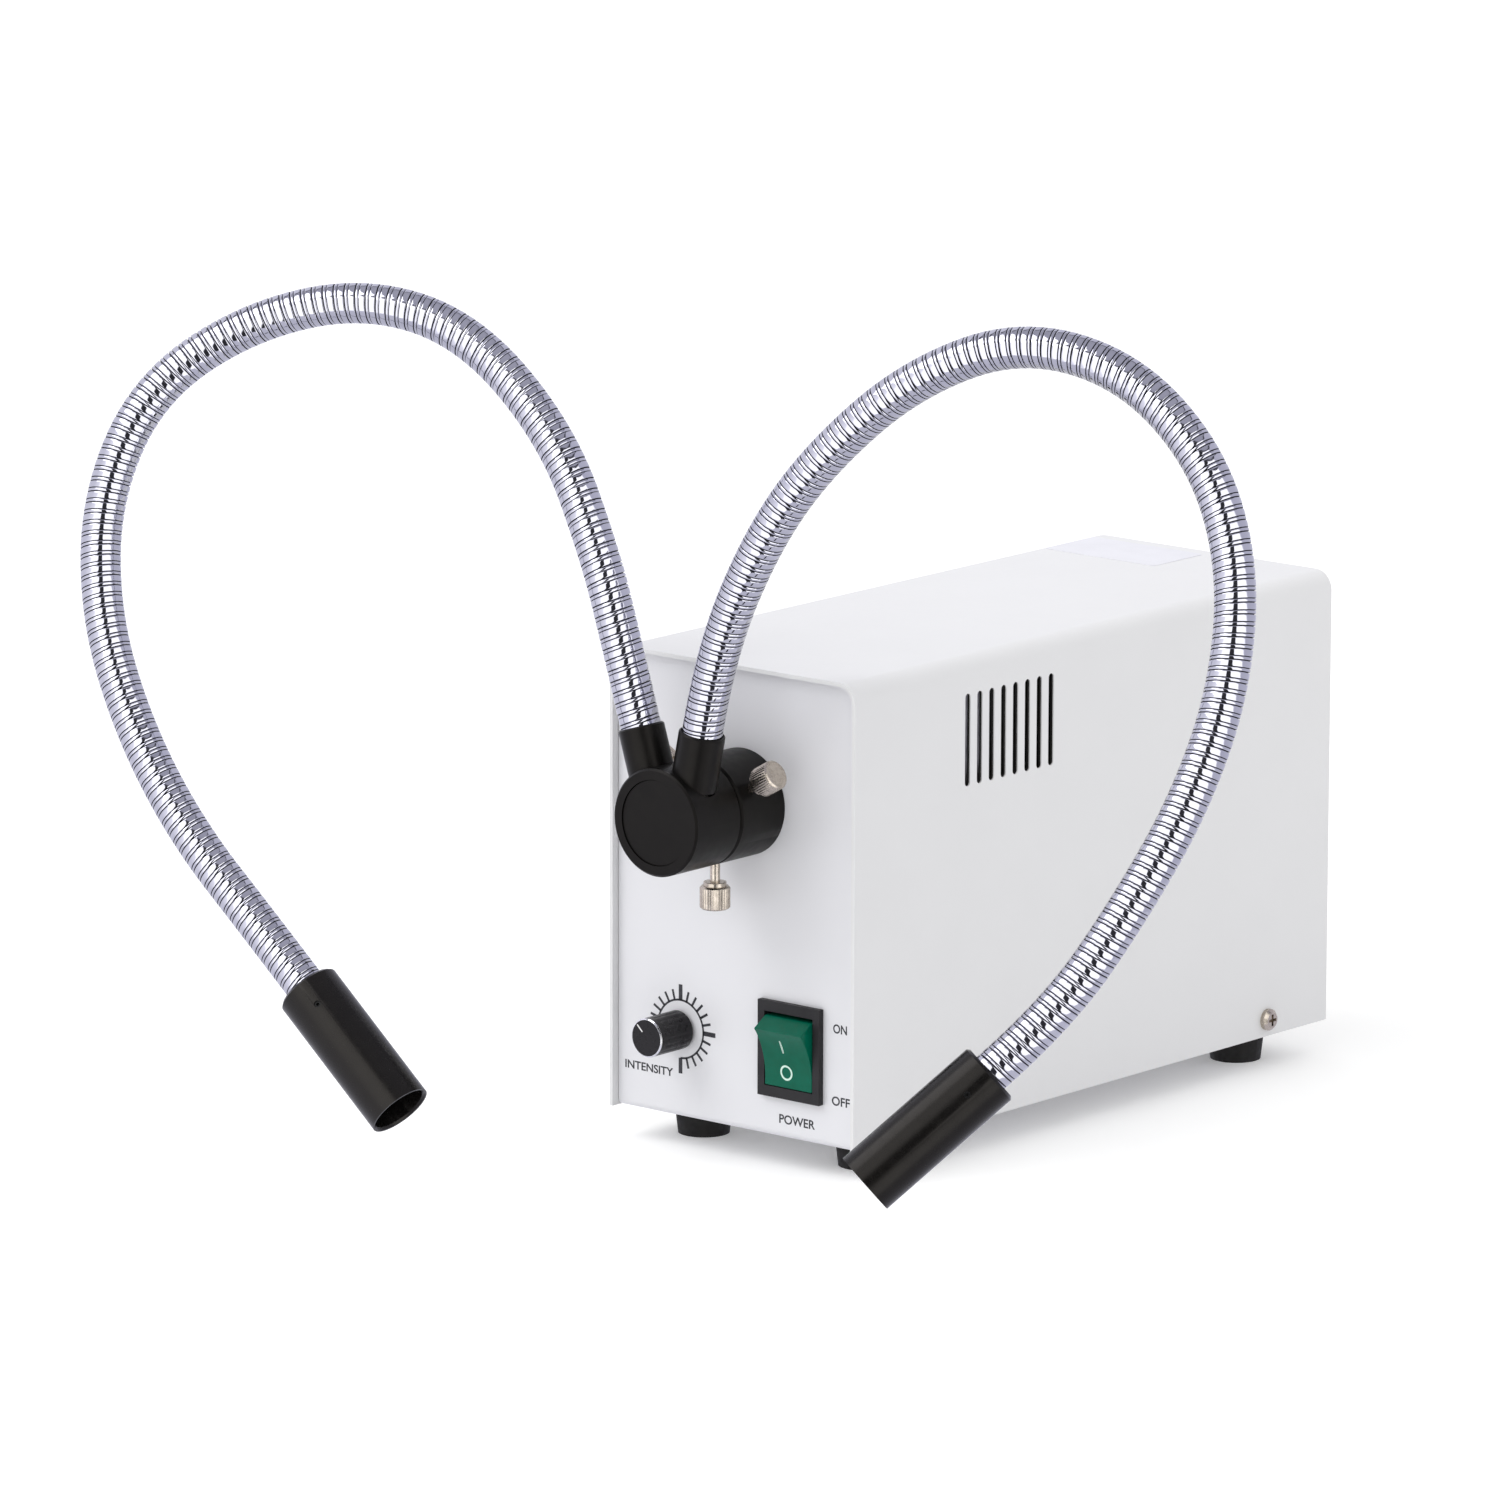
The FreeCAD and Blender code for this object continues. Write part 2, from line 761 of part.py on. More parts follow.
# Cabinet.
def makeChassis():
    body = newBody("Chassis")
    t = s.chassisSheet
    pad(body, "YZ_Plane", [outline(
        (panelFace, bottomZ), (rearFace, bottomZ), (rearFace, wallTop), (rearFace - t, wallTop),
        (rearFace - t, floorTop), (panelInner, floorTop), (panelInner, wallTop), (panelFace, wallTop),
    )], chassisHalf * 2, midplane=True)
    cornerRadius = s.coverCornerRadius - s.coverSheet - s.coverGap
    rounded(body, cornerRadius, lambda edge: nearly(edge.CenterOfMass.z, wallTop.value)
           and nearly(abs(edge.CenterOfMass.x), chassisHalf.value))
    rounded(body, s.chassisBendRadius, lambda edge: nearly(edge.CenterOfMass.z, bottomZ.value)
           and nearly(abs(edge.CenterOfMass.y), rearFace.value))
    inner = s.chassisBendRadius - t
    rounded(body, inner, lambda edge: nearly(edge.CenterOfMass.z, floorTop.value)
           and nearly(abs(edge.CenterOfMass.y), rearInner.value))
    flangeLength = (rearFace - s.flangeInset) * 2
    flanges = [
        rectangle(side * (chassisHalf - t / 2), asSize(0), t, flangeLength) for side in (-1, 1)
    ]
    pad(body, "XY_Plane", flanges, s.flangeHeight, offset=bottomZ)
    bushingHole = s.bushingRadius + s.bushingHoleGap
    front = [
        circle(s.portX, portZ, s.neckRadius + s.neckGap),
        circle(knobX, controlZ, bushingHole),
        rectangle(switchX, controlZ, s.switchBodyWidth + s.switchCutoutGap * 2,
                  s.switchBodyHeight + s.switchCutoutGap * 2),
    ]
    pocket(body, "XZ_Plane", front, back=True)
    clear = s.screwRadius + s.screwGap
    rear = [
        circle(s.fanX, fanZ, s.fanOpeningRadius),
        rectangle(inletX, inletZ, s.inletBodyWidth + s.inletCutoutGap * 2,
                  s.inletBodyHeight + s.inletCutoutGap * 2),
    ]
    rear += [circle(x, z, clear) for x, z in fanCorners + inletScrewPlaces]
    pocket(body, "XZ_Plane", rear)
    floor = [circle(x, y, clear) for x, y in footCorners + boardCorners + bracketPlaces]
    pocket(body, "XY_Plane", floor, midplane=True)
    thread = s.screwRadius + s.threadGap
    sides = [circle(side * s.coverScrewY, coverScrewZ, thread) for side in (-1, 1)]
    pocket(body, "YZ_Plane", sides, midplane=True)
    return keep(body, "base_chassis")


def makeCover():
    body = newBody("Cover")
    half = s.cabinetWidth / 2
    t = s.coverSheet
    pad(body, "XZ_Plane", [outline(
        (-half, bottomZ), (-half, topZ), (half, topZ), (half, bottomZ), (half - t, bottomZ),
        (half - t, topZ - t), (t - half, topZ - t), (t - half, bottomZ),
    )], s.cabinetDepth, midplane=True)
    rounded(body, s.coverCornerRadius, lambda edge: nearly(edge.CenterOfMass.z, topZ.value)
           and nearly(abs(edge.CenterOfMass.x), half.value))
    inner = s.coverCornerRadius - t
    rounded(body, inner, lambda edge: nearly(edge.CenterOfMass.z, (topZ - t).value)
           and nearly(abs(edge.CenterOfMass.x), (half - t).value))
    ventZ = topZ - s.ventCentreDrop
    firstY = s.ventCentreY - s.ventPitch * (s.ventCount - 1) / 2
    straight = s.ventLength - s.ventWidth
    slot = pocket(body, "YZ_Plane", [rectangle(firstY, ventZ, s.ventWidth, straight)], midplane=True)
    ends = []
    for side in (-1, 1):
        ends.append(pocket(body, "YZ_Plane", [circle(firstY, ventZ + side * straight / 2, s.ventWidth / 2)],
                           midplane=True))
    pattern = body.newObject("PartDesign::LinearPattern", "CoverVents")
    pattern.Originals = [slot] + ends
    pattern.Direction = (slot.Profile[0], ["H_Axis"])
    span = s.ventPitch * (s.ventCount - 1)
    pattern.Length = span.value
    pattern.setExpression("Length", span.text)
    pattern.Occurrences = int(s.ventCount.value)
    pattern.setExpression("Occurrences", s.ventCount.text)
    body.Tip = pattern
    clear = s.screwRadius + s.screwGap
    holes = [circle(side * s.coverScrewY, coverScrewZ, clear) for side in (-1, 1)]
    pocket(body, "YZ_Plane", holes, midplane=True)
    return keep(body, "cover")


def makeFeet():
    feet = []
    screws = []
    hole = s.screwRadius + s.screwGap
    for i, (x, y) in enumerate(footCorners):
        foot = turned(
            "Foot" + str(i), (s.footRecessRadius, 0), (s.footBottomRadius, 0),
            (s.footTopRadius, s.footHeight), (hole, s.footHeight), (hole, s.footRecessDepth),
            (s.footRecessRadius, s.footRecessDepth),
        )
        feet.append(place(foot, x, y, asSize(0)))
        down = Rotation(Vector(1, 0, 0), 180)
        screws.append(panScrew("FootScrew" + str(i), s.floorScrewLength, x, y, s.footRecessDepth, down))
        screws.append(hexNut("FootNut" + str(i), x, y, floorTop))
    keep(group("Feet", feet), "rubber_feet")
    keep(group("FootScrews", screws), "foot_screws")


def makeCoverScrews():
    screws = []
    for i, (side, end) in enumerate([(side, end) for side in (-1, 1) for end in (-1, 1)]):
        turn = Rotation(Vector(0, 1, 0), 90 * side)
        x = side * s.cabinetWidth / 2
        screws.append(panScrew("CoverScrew" + str(i), s.coverScrewLength, x, end * s.coverScrewY,
                               coverScrewZ, turn))
    keep(group("CoverScrews", screws), "cover_screws")


# Light port. Heights in these profiles are measured forwards from the front panel's face.
def atPort(piece):
    return place(piece, s.portX, panelFace, portZ, forward)


def makePort():
    c = s.collarChamfer
    collar = turned(
        "Collar", (s.spigotBore, -s.neckLength), (s.neckRadius, -s.neckLength), (s.neckRadius, 0),
        (s.collarRadius, 0), (s.collarRadius, s.collarLength - c),
        (s.collarRadius - c, s.collarLength), (s.spigotBore, s.collarLength),
    )
    screwHole = circle(asSize(0), s.clampPlane, s.screwRadius + s.threadGap)
    hole = pocket(collar, "XZ_Plane", [screwHole], back=True)
    around = collar.newObject("PartDesign::PolarPattern", "CollarHoles")
    around.Originals = [hole]
    around.Axis = (hole.Profile[0], ["V_Axis"])
    around.Angle = 360
    around.Occurrences = 3
    collar.Tip = around
    keep(atPort(collar), "port_collar")
    nut = turnedSleeve("RingNut", s.neckRadius + s.threadGap, s.ringNutRadius,
                       -s.chassisSheet - s.ringNutThickness, -s.chassisSheet)
    keep(atPort(nut), "port_ring_nut")


def makeClamp(label, angle, reach):
    """A thumb screw whose axis lies in the clamping plane, at an angle from straight up."""
    c = s.clampHeadChamfer
    shoulderTop = s.clampShoulderLength
    top = shoulderTop + s.clampHeadLength
    bore = s.screwRadius + s.threadGap
    head = turned(
        label + "Head", (bore, 0), (s.clampShoulderRadius, 0), (s.clampShoulderRadius, shoulderTop),
        (s.clampHeadRadius - c, shoulderTop), (s.clampHeadRadius, shoulderTop + c),
        (s.clampHeadRadius, top - c), (s.clampHeadRadius - c, top), (0, top),
        (0, s.clampHeadBore), (bore, s.clampHeadBore),
    )
    start = s.spigotRadius + s.clampTipGap
    stud = rod(label + "Stud", s.screwRadius, asSize(0), asSize(0), start, reach + s.clampHeadBore - start)
    y = panelFace - s.clampPlane
    place(head, s.portX + reach * sine(angle), y, portZ + reach * cosine(angle))
    place(stud, s.portX + start * sine(angle), y, portZ + start * cosine(angle))
    for piece in (head, stud):
        lean(piece, angle)
    keep(head, label + "_thumb_screw_head")
    keep(stud, label + "_thumb_screw_stud")


# Light guide hub.
def makeGuide():
    rear = s.collarLength + s.hubSeam
    front = rear + s.hubLength
    c = s.hubChamfer
    spigot = turnedSleeve("InputFerrule", s.spigotRadius - s.spigotWall, s.spigotRadius, -s.spigotTail,
                          rear + s.hubRearWall)
    keep(atPort(spigot), "input_ferrule")
    hub = turned(
        "HubShell", (s.spigotRadius + s.spigotGap, rear), (s.hubRadius - c, rear), (s.hubRadius, rear + c),
        (s.hubRadius, front - c), (s.hubRadius - c, front), (s.hubCavityRadius, front),
        (s.hubCavityRadius, rear + s.hubRearWall), (s.spigotRadius + s.spigotGap, rear + s.hubRearWall),
    )
    atPort(hub)
    holes = []
    for label, angle, offset in ferruleList:
        base = ferruleMouth(angle, offset, 0)
        hole = rod(label + "FerruleHole", s.ferruleRadius + s.ferruleGap, base[0], base[1], base[2],
                   s.ferruleReach)
        holes.append(lean(hole, angle))
    keep(cut("Hub", hub, holes), "hub_body")
    cap = turned(
        "HubCap", (0, front - s.capInset - s.capThickness),
        (s.hubCavityRadius - s.capGap, front - s.capInset - s.capThickness),
        (s.hubCavityRadius - s.capGap, front - s.capInset), (0, front - s.capInset),
    )
    keep(atPort(cap), "hub_cap")


def ferruleMouth(angle, offset, reach):
    """The point on a ferrule's axis at a reach from the hub's axis."""
    x = s.portX + reach * sine(angle) + offset * cosine(angle)
    z = portZ + reach * cosine(angle) - offset * sine(angle)
    return (x, panelFace - s.ferrulePlane, z)


def makeFerrule(label, angle, offset):
    c = s.ferruleChamfer
    socket = s.hoseRadius + s.ballGap
    tube = turned(
        label + "Ferrule", (s.fibreBoreRadius, -s.ferruleLength), (s.ferruleRadius, -s.ferruleLength),
        (s.ferruleRadius, -c), (s.ferruleRadius - c, 0), (socket, 0), (socket, -s.socketDepth),
        (s.fibreBoreRadius, -s.socketDepth),
    )
    mouth = ferruleMouth(angle, offset, s.ferruleReach)
    place(tube, mouth[0], mouth[1], mouth[2])
    keep(lean(tube, angle), label + "_ferrule")


def asVector(sizes):
    return Vector(*[asSize(size).value for size in sizes])


def makeGuideFibres():
    """The common bundle in the spigot, parted in the hub into one branch for each ferrule."""
    rear = s.collarLength + s.hubSeam + s.hubRearWall
    radius = s.spigotRadius - s.spigotWall - s.spigotGap
    common = turned("CommonFibres", (0, -s.spigotTail), (radius, -s.spigotTail), (radius, rear), (0, rear))
    solids = [atPort(common)]
    for label, angle, offset in ferruleList:
        corner = asVector(ferruleMouth(angle, offset, 0))
        start = Vector(corner.x, (panelFace - rear).value, corner.z)
        end = asVector(ferruleMouth(angle, offset, s.ferruleReach - s.ballDepth - s.fibreEndGap))
        branch = doc.addObject("Part::Feature", label + "Branch")
        branch.Shape = tubeAlong(routeWire([start, corner, end]), s.fibreRadius.value, label + " branch")
        branch.Placement = Placement()
        solids.append(branch)
    keep(group("GuideFibres", solids), "guide_fibres")


# Goosenecks and tips.
def armRoute(angle, offset, shares, endShare, tipShare):
    span = s.armSpan.value
    mouth = asVector(ferruleMouth(angle, offset, s.ferruleReach))
    radians = math.radians(angle.value)
    upwards = Vector(math.sin(radians), 0, math.cos(radians))
    aim = Vector(*tipShare).normalize()
    end = mouth + Vector(*endShare) * span
    points = [mouth, mouth + upwards * s.endRun.value]
    points += [mouth + Vector(*share) * span for share in shares]
    points += [end - aim * s.endRun.value, end]
    return points


def hoseSections(length):
    """(distance, radius) of each circle: a ball, the ribs, and a ball at the far end."""
    ball = s.ballDepth.value
    radius = s.hoseRadius.value
    steps = [share * ball for share in ballShares]
    ends = [(step, math.sqrt(radius * radius - step * step)) for step in steps]
    ribs = round(length / s.ribPitch.value)
    pitch = length / ribs
    sections = [(-step, ring) for step, ring in ends]
    profile = (s.hoseGrooveRadius.value, radius, radius, s.hoseBeadRadius.value)
    for i in range(ribs):
        for share, ring in zip(ribShares, profile):
            sections.append(((i + share) * pitch, radius if i + share == 0 else ring))
    sections.append((length, radius))
    sections += [(length + step, ring) for step, ring in reversed(ends)]
    return sections


def makeArm(label, angle, offset, shares, endShare, tipShare):
    points = armRoute(angle, offset, shares, endShare, tipShare)
    wire = routeWire(points)
    radii = [round(arc[3], 1) for arc in tangentArcs(points)]
    print(label, "gooseneck length", round(wire.Length, 1), "radii", radii)
    first = (points[1] - points[0]).normalize()
    last = (points[-1] - points[-2]).normalize()
    ball = s.ballDepth.value
    longer = Part.Wire(
        [Part.LineSegment(points[0] - first * ball, points[0]).toShape()] + wire.OrderedEdges
        + [Part.LineSegment(points[-1], points[-1] + last * ball).toShape()]
    )
    sections = hoseSections(wire.Length)
    spots = spotsAlong(longer, [distance + ball for distance, radius in sections])
    across = Vector(0, 1, 0)
    rings = []
    for (spot, direction), (distance, radius) in zip(spots, sections):
        across = (across - direction * across.dot(direction)).normalize()
        rings.append(crossSection(spot, direction, across, radius))
    outside = Part.makeLoft(rings, False, True, False)
    bore = s.fibreBoreRadius.value
    ends = [crossSection(spot, direction, across, bore) for spot, direction in (spots[0], spots[-1])]
    inside = longer.makePipeShell([ends[0]], False, False)
    lids = [
        Part.Face([ring, hole], "Part::FaceMakerBullseye")
        for ring, hole in zip((rings[0], rings[-1]), ends)
    ]
    shell = Part.makeShell(outside.Faces + inside.Faces + lids)
    shell.sewShape()
    hose = Part.makeSolid(shell)
    if hose.Volume < 0:
        hose.reverse()
    middle = (s.hoseRadius.value + s.hoseGrooveRadius.value) / 2
    plain = math.pi * (middle * middle - bore * bore) * longer.Length
    print(label, "gooseneck volume over a plain tube's", round(hose.Volume / plain, 3))
    feature(label + "_gooseneck", hose)
    feature(label + "_fibres", tubeAlong(longer, s.fibreRadius.value, label + " fibres"))
    return points[-1], last


def makeTip(label, end, aim):
    c = s.tipRearChamfer
    rim = s.tipRimChamfer
    socket = s.hoseRadius + s.ballGap
    boreStart = s.tipLength - s.tipBoreDepth
    lensTop = s.tipLength - s.tipLensRecess
    lensSeat = lensTop - s.tipLensThickness
    lensPocket = s.tipLensRadius + s.tipLensGap
    tube = turned(
        label + "TipShell", (socket, 0), (s.tipRadius - c, 0), (s.tipRadius, c),
        (s.tipRadius, s.tipLength), (s.tipBoreRadius + rim, s.tipLength),
        (s.tipBoreRadius, s.tipLength - rim), (s.tipBoreRadius, lensTop), (lensPocket, lensTop),
        (lensPocket, lensSeat), (s.tipRearBoreRadius, lensSeat), (s.tipRearBoreRadius, boreStart),
        (s.fibreBoreRadius, boreStart), (s.fibreBoreRadius, s.socketDepth), (socket, s.socketDepth),
    )
    grubHole = s.grubRadius + s.grubGap
    grubZ = boreStart - s.grubPlace
    pocket(tube, "YZ_Plane", [circle(asSize(0), grubZ, grubHole)], back=True)
    lens = turned(label + "TipLens", (0, lensSeat), (s.tipLensRadius, lensSeat),
                  (s.tipLensRadius, lensTop), (0, lensTop))
    fibres = turned(label + "TipFibres", (0, s.ballDepth + s.fibreEndGap),
                    (s.fibreRadius, s.ballDepth + s.fibreEndGap), (s.fibreRadius, boreStart), (0, boreStart))
    grub = turned(
        label + "Grub", (0, -s.grubLength), (s.grubRadius, -s.grubLength), (s.grubRadius, 0),
        (s.grubSocketRadius, 0), (s.grubSocketRadius, -s.grubSocketDepth), (0, -s.grubSocketDepth),
    )
    facing = Vector(*tipScrewFacing)
    side = (facing - aim * facing.dot(aim)).normalize()
    turn = Rotation(side, aim.cross(side), aim, "ZXY")
    for piece in (tube, lens, fibres):
        piece.Placement = Placement(end, turn)
    grubSpot = end + aim * grubZ.value + side * (s.tipRadius - s.grubSocketRadius).value
    grub.Placement = Placement(grubSpot, Rotation(aim, side.cross(aim), side, "ZXY"))
    keep(tube, label + "_tip_tube")
    keep(lens, label + "_tip_lens")
    keep(fibres, label + "_tip_fibres")
    keep(grub, label + "_tip_grub_screw")


# Controls.
def makeKnob():
    c = s.knobChamfer
    shaftHole = s.shaftRadius + s.threadGap
    hollow = s.bushingRadius + s.knobHollowGap
    hollowTop = s.bushingReach + s.knobHollowGap
    nutRoom = s.potNutCircumradius + s.knobHollowGap
    nutTop = s.potNutThickness + s.knobHollowGap
    knob = turned(
        "Knob", (nutRoom, s.knobRearGap), (s.knobRadius - c / 2, s.knobRearGap),
        (s.knobRadius, s.knobRearGap + c / 2), (s.knobRadius, s.knobReach - c),
        (s.knobRadius - c, s.knobReach), (0, s.knobReach), (0, s.shaftReach), (shaftHole, s.shaftReach),
        (shaftHole, hollowTop), (hollow, hollowTop), (hollow, nutTop), (nutRoom, nutTop),
    )
    flute = pocket(knob, "XY_Plane", [circle(s.knobRadius, asSize(0), s.knobFluteRadius)],
                   s.knobReach - s.knobRearGap, offset=s.knobReach)
    around = knob.newObject("PartDesign::PolarPattern", "KnobFlutes")
    around.Originals = [flute]
    around.Axis = (flute.Profile[0], ["N_Axis"])
    around.Angle = 360
    around.Occurrences = int(s.knobFluteCount.value)
    around.setExpression("Occurrences", s.knobFluteCount.text)
    knob.Tip = around
    reach = s.knobRadius
    pocket(knob, "XY_Plane", [rectangle(asSize(0), reach / 2, s.knobPointerWidth, reach)],
           s.knobPointerDepth, offset=s.knobReach)
    marked = Rotation(Vector(0, 1, 0), s.knobMarkAngle.value).multiply(forward)
    place(knob, knobX, panelFace, controlZ, marked)
    keep(knob, "intensity_knob")
    shaft = turned("Shaft", (0, -s.chassisSheet), (s.shaftRadius, -s.chassisSheet),
                   (s.shaftRadius, s.shaftReach), (0, s.shaftReach))
    keep(place(shaft, knobX, panelFace, controlZ, forward), "potentiometer_shaft")


def makePotentiometer():
    back = -s.chassisSheet
    hole = s.shaftRadius + s.threadGap
    can = turned(
        "PotCan", (0, back - s.potDepth), (s.potRadius, back - s.potDepth), (s.potRadius, back),
        (s.bushingRadius, back), (s.bushingRadius, s.bushingReach), (hole, s.bushingReach),
        (hole, back - s.threadGap), (0, back - s.threadGap),
    )
    place(can, knobX, panelFace, controlZ, forward)
    tags = []
    rear = panelInner + s.potDepth / 2
    for i in (-1, 0, 1):
        x = knobX + i * s.potTagPitch
        low = controlZ - s.potRadius - s.potTagLength
        tags.append(box("PotTag" + str(i + 1), (x - s.potTagWidth / 2, x + s.potTagWidth / 2),
                        (rear, rear + s.potTagThickness), (low, controlZ - s.potRadius / 2)))
    can = joined("PotBody", [can] + tags)
    blank = hexagon("PotNutBlank", s.potNutCircumradius, knobX, panelFace, controlZ,
                    s.potNutThickness, forward)
    bore = rod("PotNutHole", s.bushingRadius + s.threadGap, knobX, panelFace, controlZ,
               s.potNutThickness, forward)
    keep(group("Potentiometer", [can, cut("PotNut", blank, [bore])]), "potentiometer")


def makeSwitch():
    bezelFace = panelFace - s.bezelThickness
    bodyRear = panelFace + s.switchBodyDepth
    halfX = s.switchBodyWidth / 2
    halfZ = s.switchBodyHeight / 2
    bezel = box("Bezel", (switchX - s.bezelWidth / 2, switchX + s.bezelWidth / 2),
                (bezelFace, panelFace), (controlZ - s.bezelHeight / 2, controlZ + s.bezelHeight / 2))
    case = box("SwitchCase", (switchX - halfX, switchX + halfX), (panelFace, bodyRear),
               (controlZ - halfZ, controlZ + halfZ))
    wellX = s.rockerWidth / 2 + s.rockerGap
    wellBottom = bezelFace + s.rockerWellDepth
    well = box("SwitchWell", (switchX - wellX, switchX + wellX), (bezelFace, wellBottom),
               (controlZ - s.wellHeight / 2, controlZ + s.wellHeight / 2))
    pivotY = bezelFace + s.rockerPivotDepth
    pinSpan = s.rockerWidth / 2 + s.pinLength + s.pinGap
    pinHole = rod("SwitchPinHole", s.pinRadius + s.pinGap, switchX - pinSpan, pivotY, controlZ,
                  pinSpan * 2, Rotation(Vector(0, 1, 0), 90))
    housing = joined("SwitchShell", [bezel, case])
    keep(cut("SwitchHousing", housing, [well, pinHole]), "switch_housing")

    # The rocker at mid travel, in depth forwards from its pivot, then tipped into its off position. Its
    # ends run square to the bezel when they are pressed in, close to the well's wall.
    rocker = newBody("Rocker")
    front = s.rockerEdgeHeight
    half = (s.wellHeight / 2 - s.rockerGap - front * sine(s.rockerTilt)) / cosine(s.rockerTilt)
    endFront = front - s.rockerEndDepth * cosine(s.rockerTilt)
    endHalf = half + s.rockerEndDepth * sine(s.rockerTilt)
    tail = s.rockerTailDepth
    narrow = endHalf - s.rockerTailShrink
    pad(rocker, "YZ_Plane", [outline(
        (-front, -half), (-front, half), (-endFront, endHalf), (tail, narrow), (tail, -narrow),
        (-endFront, -endHalf),
    )], s.rockerWidth, midplane=True)
    dish = s.rockerDish
    dishRadius = (half * half + dish * dish) / (dish * 2)
    pocket(rocker, "YZ_Plane", [circle(dish - front - dishRadius, asSize(0), dishRadius)], midplane=True)
    pad(rocker, "YZ_Plane", [circle(asSize(0), asSize(0), s.pinRadius)],
        s.rockerWidth + s.pinLength * 2, midplane=True)
    place(rocker, switchX, pivotY, controlZ)
    keep(lean(rocker, s.rockerTilt, Vector(1, 0, 0)), "switch_rocker")

    tags = []
    for i, (x, z) in enumerate([(x, z) for x in (-1, 1) for z in (-1, 1)]):
        cx = switchX + x * s.tagSpacingX / 2
        cz = controlZ + z * s.tagSpacingZ / 2
        tags.append(box("SwitchTag" + str(i), (cx - s.tagThickness / 2, cx + s.tagThickness / 2),
                        (bodyRear, bodyRear + s.tagLength), (cz - s.tagWidth / 2, cz + s.tagWidth / 2)))
    keep(group("SwitchTags", tags), "switch_terminals")


# Optics and cooling. Depths run backwards from the front panel's face.
def makeOptics():
    barrelStart = panelFace + s.barrelFront
    barrel = turnedSleeve("Barrel", s.barrelBore, s.barrelRadius, asSize(0), s.barrelLength)
    place(barrel, s.portX, barrelStart, portZ, backward)
    notchHalf = s.leadRadius * 2
    notch = box("BarrelNotch", (s.portX - notchHalf, s.portX + notchHalf),
                (sinkFace - notchHalf * 2, sinkFace),
                (portZ - s.barrelRadius, portZ - s.ledBoardSide / 2))
    slotted = cut("SlottedBarrel", barrel, [notch])
    lensEdge = s.barrelBore - s.lensGap
    lensFront = panelFace + s.lensPlace
    dome = [(lensEdge * across, s.lensEdge + s.lensDome * up)
            for across, up in zip(lensEdgeShares, lensDomeShares)]
    lens = turned("Lens", (0, 0), (lensEdge, 0), (lensEdge, s.lensEdge), *dome, (0, s.lensEdge + s.lensDome))
    flip = lensFront + s.lensEdge + s.lensDome
    keep(place(lens, s.portX, flip, portZ, forward), "condenser_lens")
    ring = turnedSleeve("LensRing", s.barrelBore - s.lensRingWidth, s.barrelBore - s.threadGap, asSize(0),
                        s.lensRingThickness)
    place(ring, s.portX, flip, portZ, backward)
    keep(group("BarrelAndRing", [slotted, ring]), "lens_barrel")
    side = s.ledBoardSide / 2
    boardFace = sinkFace - s.ledBoardThickness
    keep(box("LedBoard", (s.portX - side, s.portX + side), (boardFace, sinkFace),
             (portZ - side, portZ + side)), "led_board")
    keep(rod("LedEmitter", s.emitterRadius, s.portX, boardFace, portZ, s.emitterThickness, forward),
         "led_emitter")


def makeHeatSink():
    sink = newBody("HeatSink")
    low = portZ - s.sinkHeight / 2
    pad(sink, "XY_Plane", [rectangle(s.portX, sinkFace + s.sinkBase / 2, sinkWidth, s.sinkBase)],
        s.sinkHeight, offset=low)
    firstX = s.portX - sinkWidth / 2 + s.finThickness / 2
    finY = sinkFace + s.sinkBase + s.finHeight / 2
    finOutline = rectangle(firstX, finY, s.finThickness, s.finHeight)
    fin = pad(sink, "XY_Plane", [finOutline], s.sinkHeight, offset=low)
    pattern = sink.newObject("PartDesign::LinearPattern", "SinkFins")
    pattern.Originals = [fin]
    pattern.Direction = (fin.Profile[0], ["H_Axis"])
    span = sinkWidth - s.finThickness
    pattern.Length = span.value
    pattern.setExpression("Length", span.text)
    pattern.Occurrences = int(s.finCount.value)
    pattern.setExpression("Occurrences", s.finCount.text)
    sink.Tip = pattern
    keep(sink, "heat_sink")

    bracket = newBody("Bracket")
    t = s.bracketSheet
    web = sinkFace + s.bracketWebPlace
    pad(bracket, "YZ_Plane", [outline(
        (web, floorTop), (web + s.bracketFoot, floorTop), (web + s.bracketFoot, floorTop + t),
        (web + t, floorTop + t), (web + t, low), (sinkFace, low), (sinkFace, low - t), (web, low - t),
    )], s.bracketWidth, midplane=True)
    pocket(bracket, "XY_Plane", [circle(x, y, s.screwRadius + s.screwGap) for x, y in bracketPlaces],
           offset=floorTop + t)
    keep(bracket, "heat_sink_bracket")
    screws = []
    for i, (x, y) in enumerate(bracketPlaces):
        down = Rotation(Vector(1, 0, 0), 180)
        screws.append(panScrew("BracketScrew" + str(i), s.chassisSheet + t + s.nutThickness * 2, x, y,
                               bottomZ, down))
        screws.append(hexNut("BracketNut" + str(i), x, y, floorTop + t))
    keep(group("BracketScrews", screws), "bracket_screws")


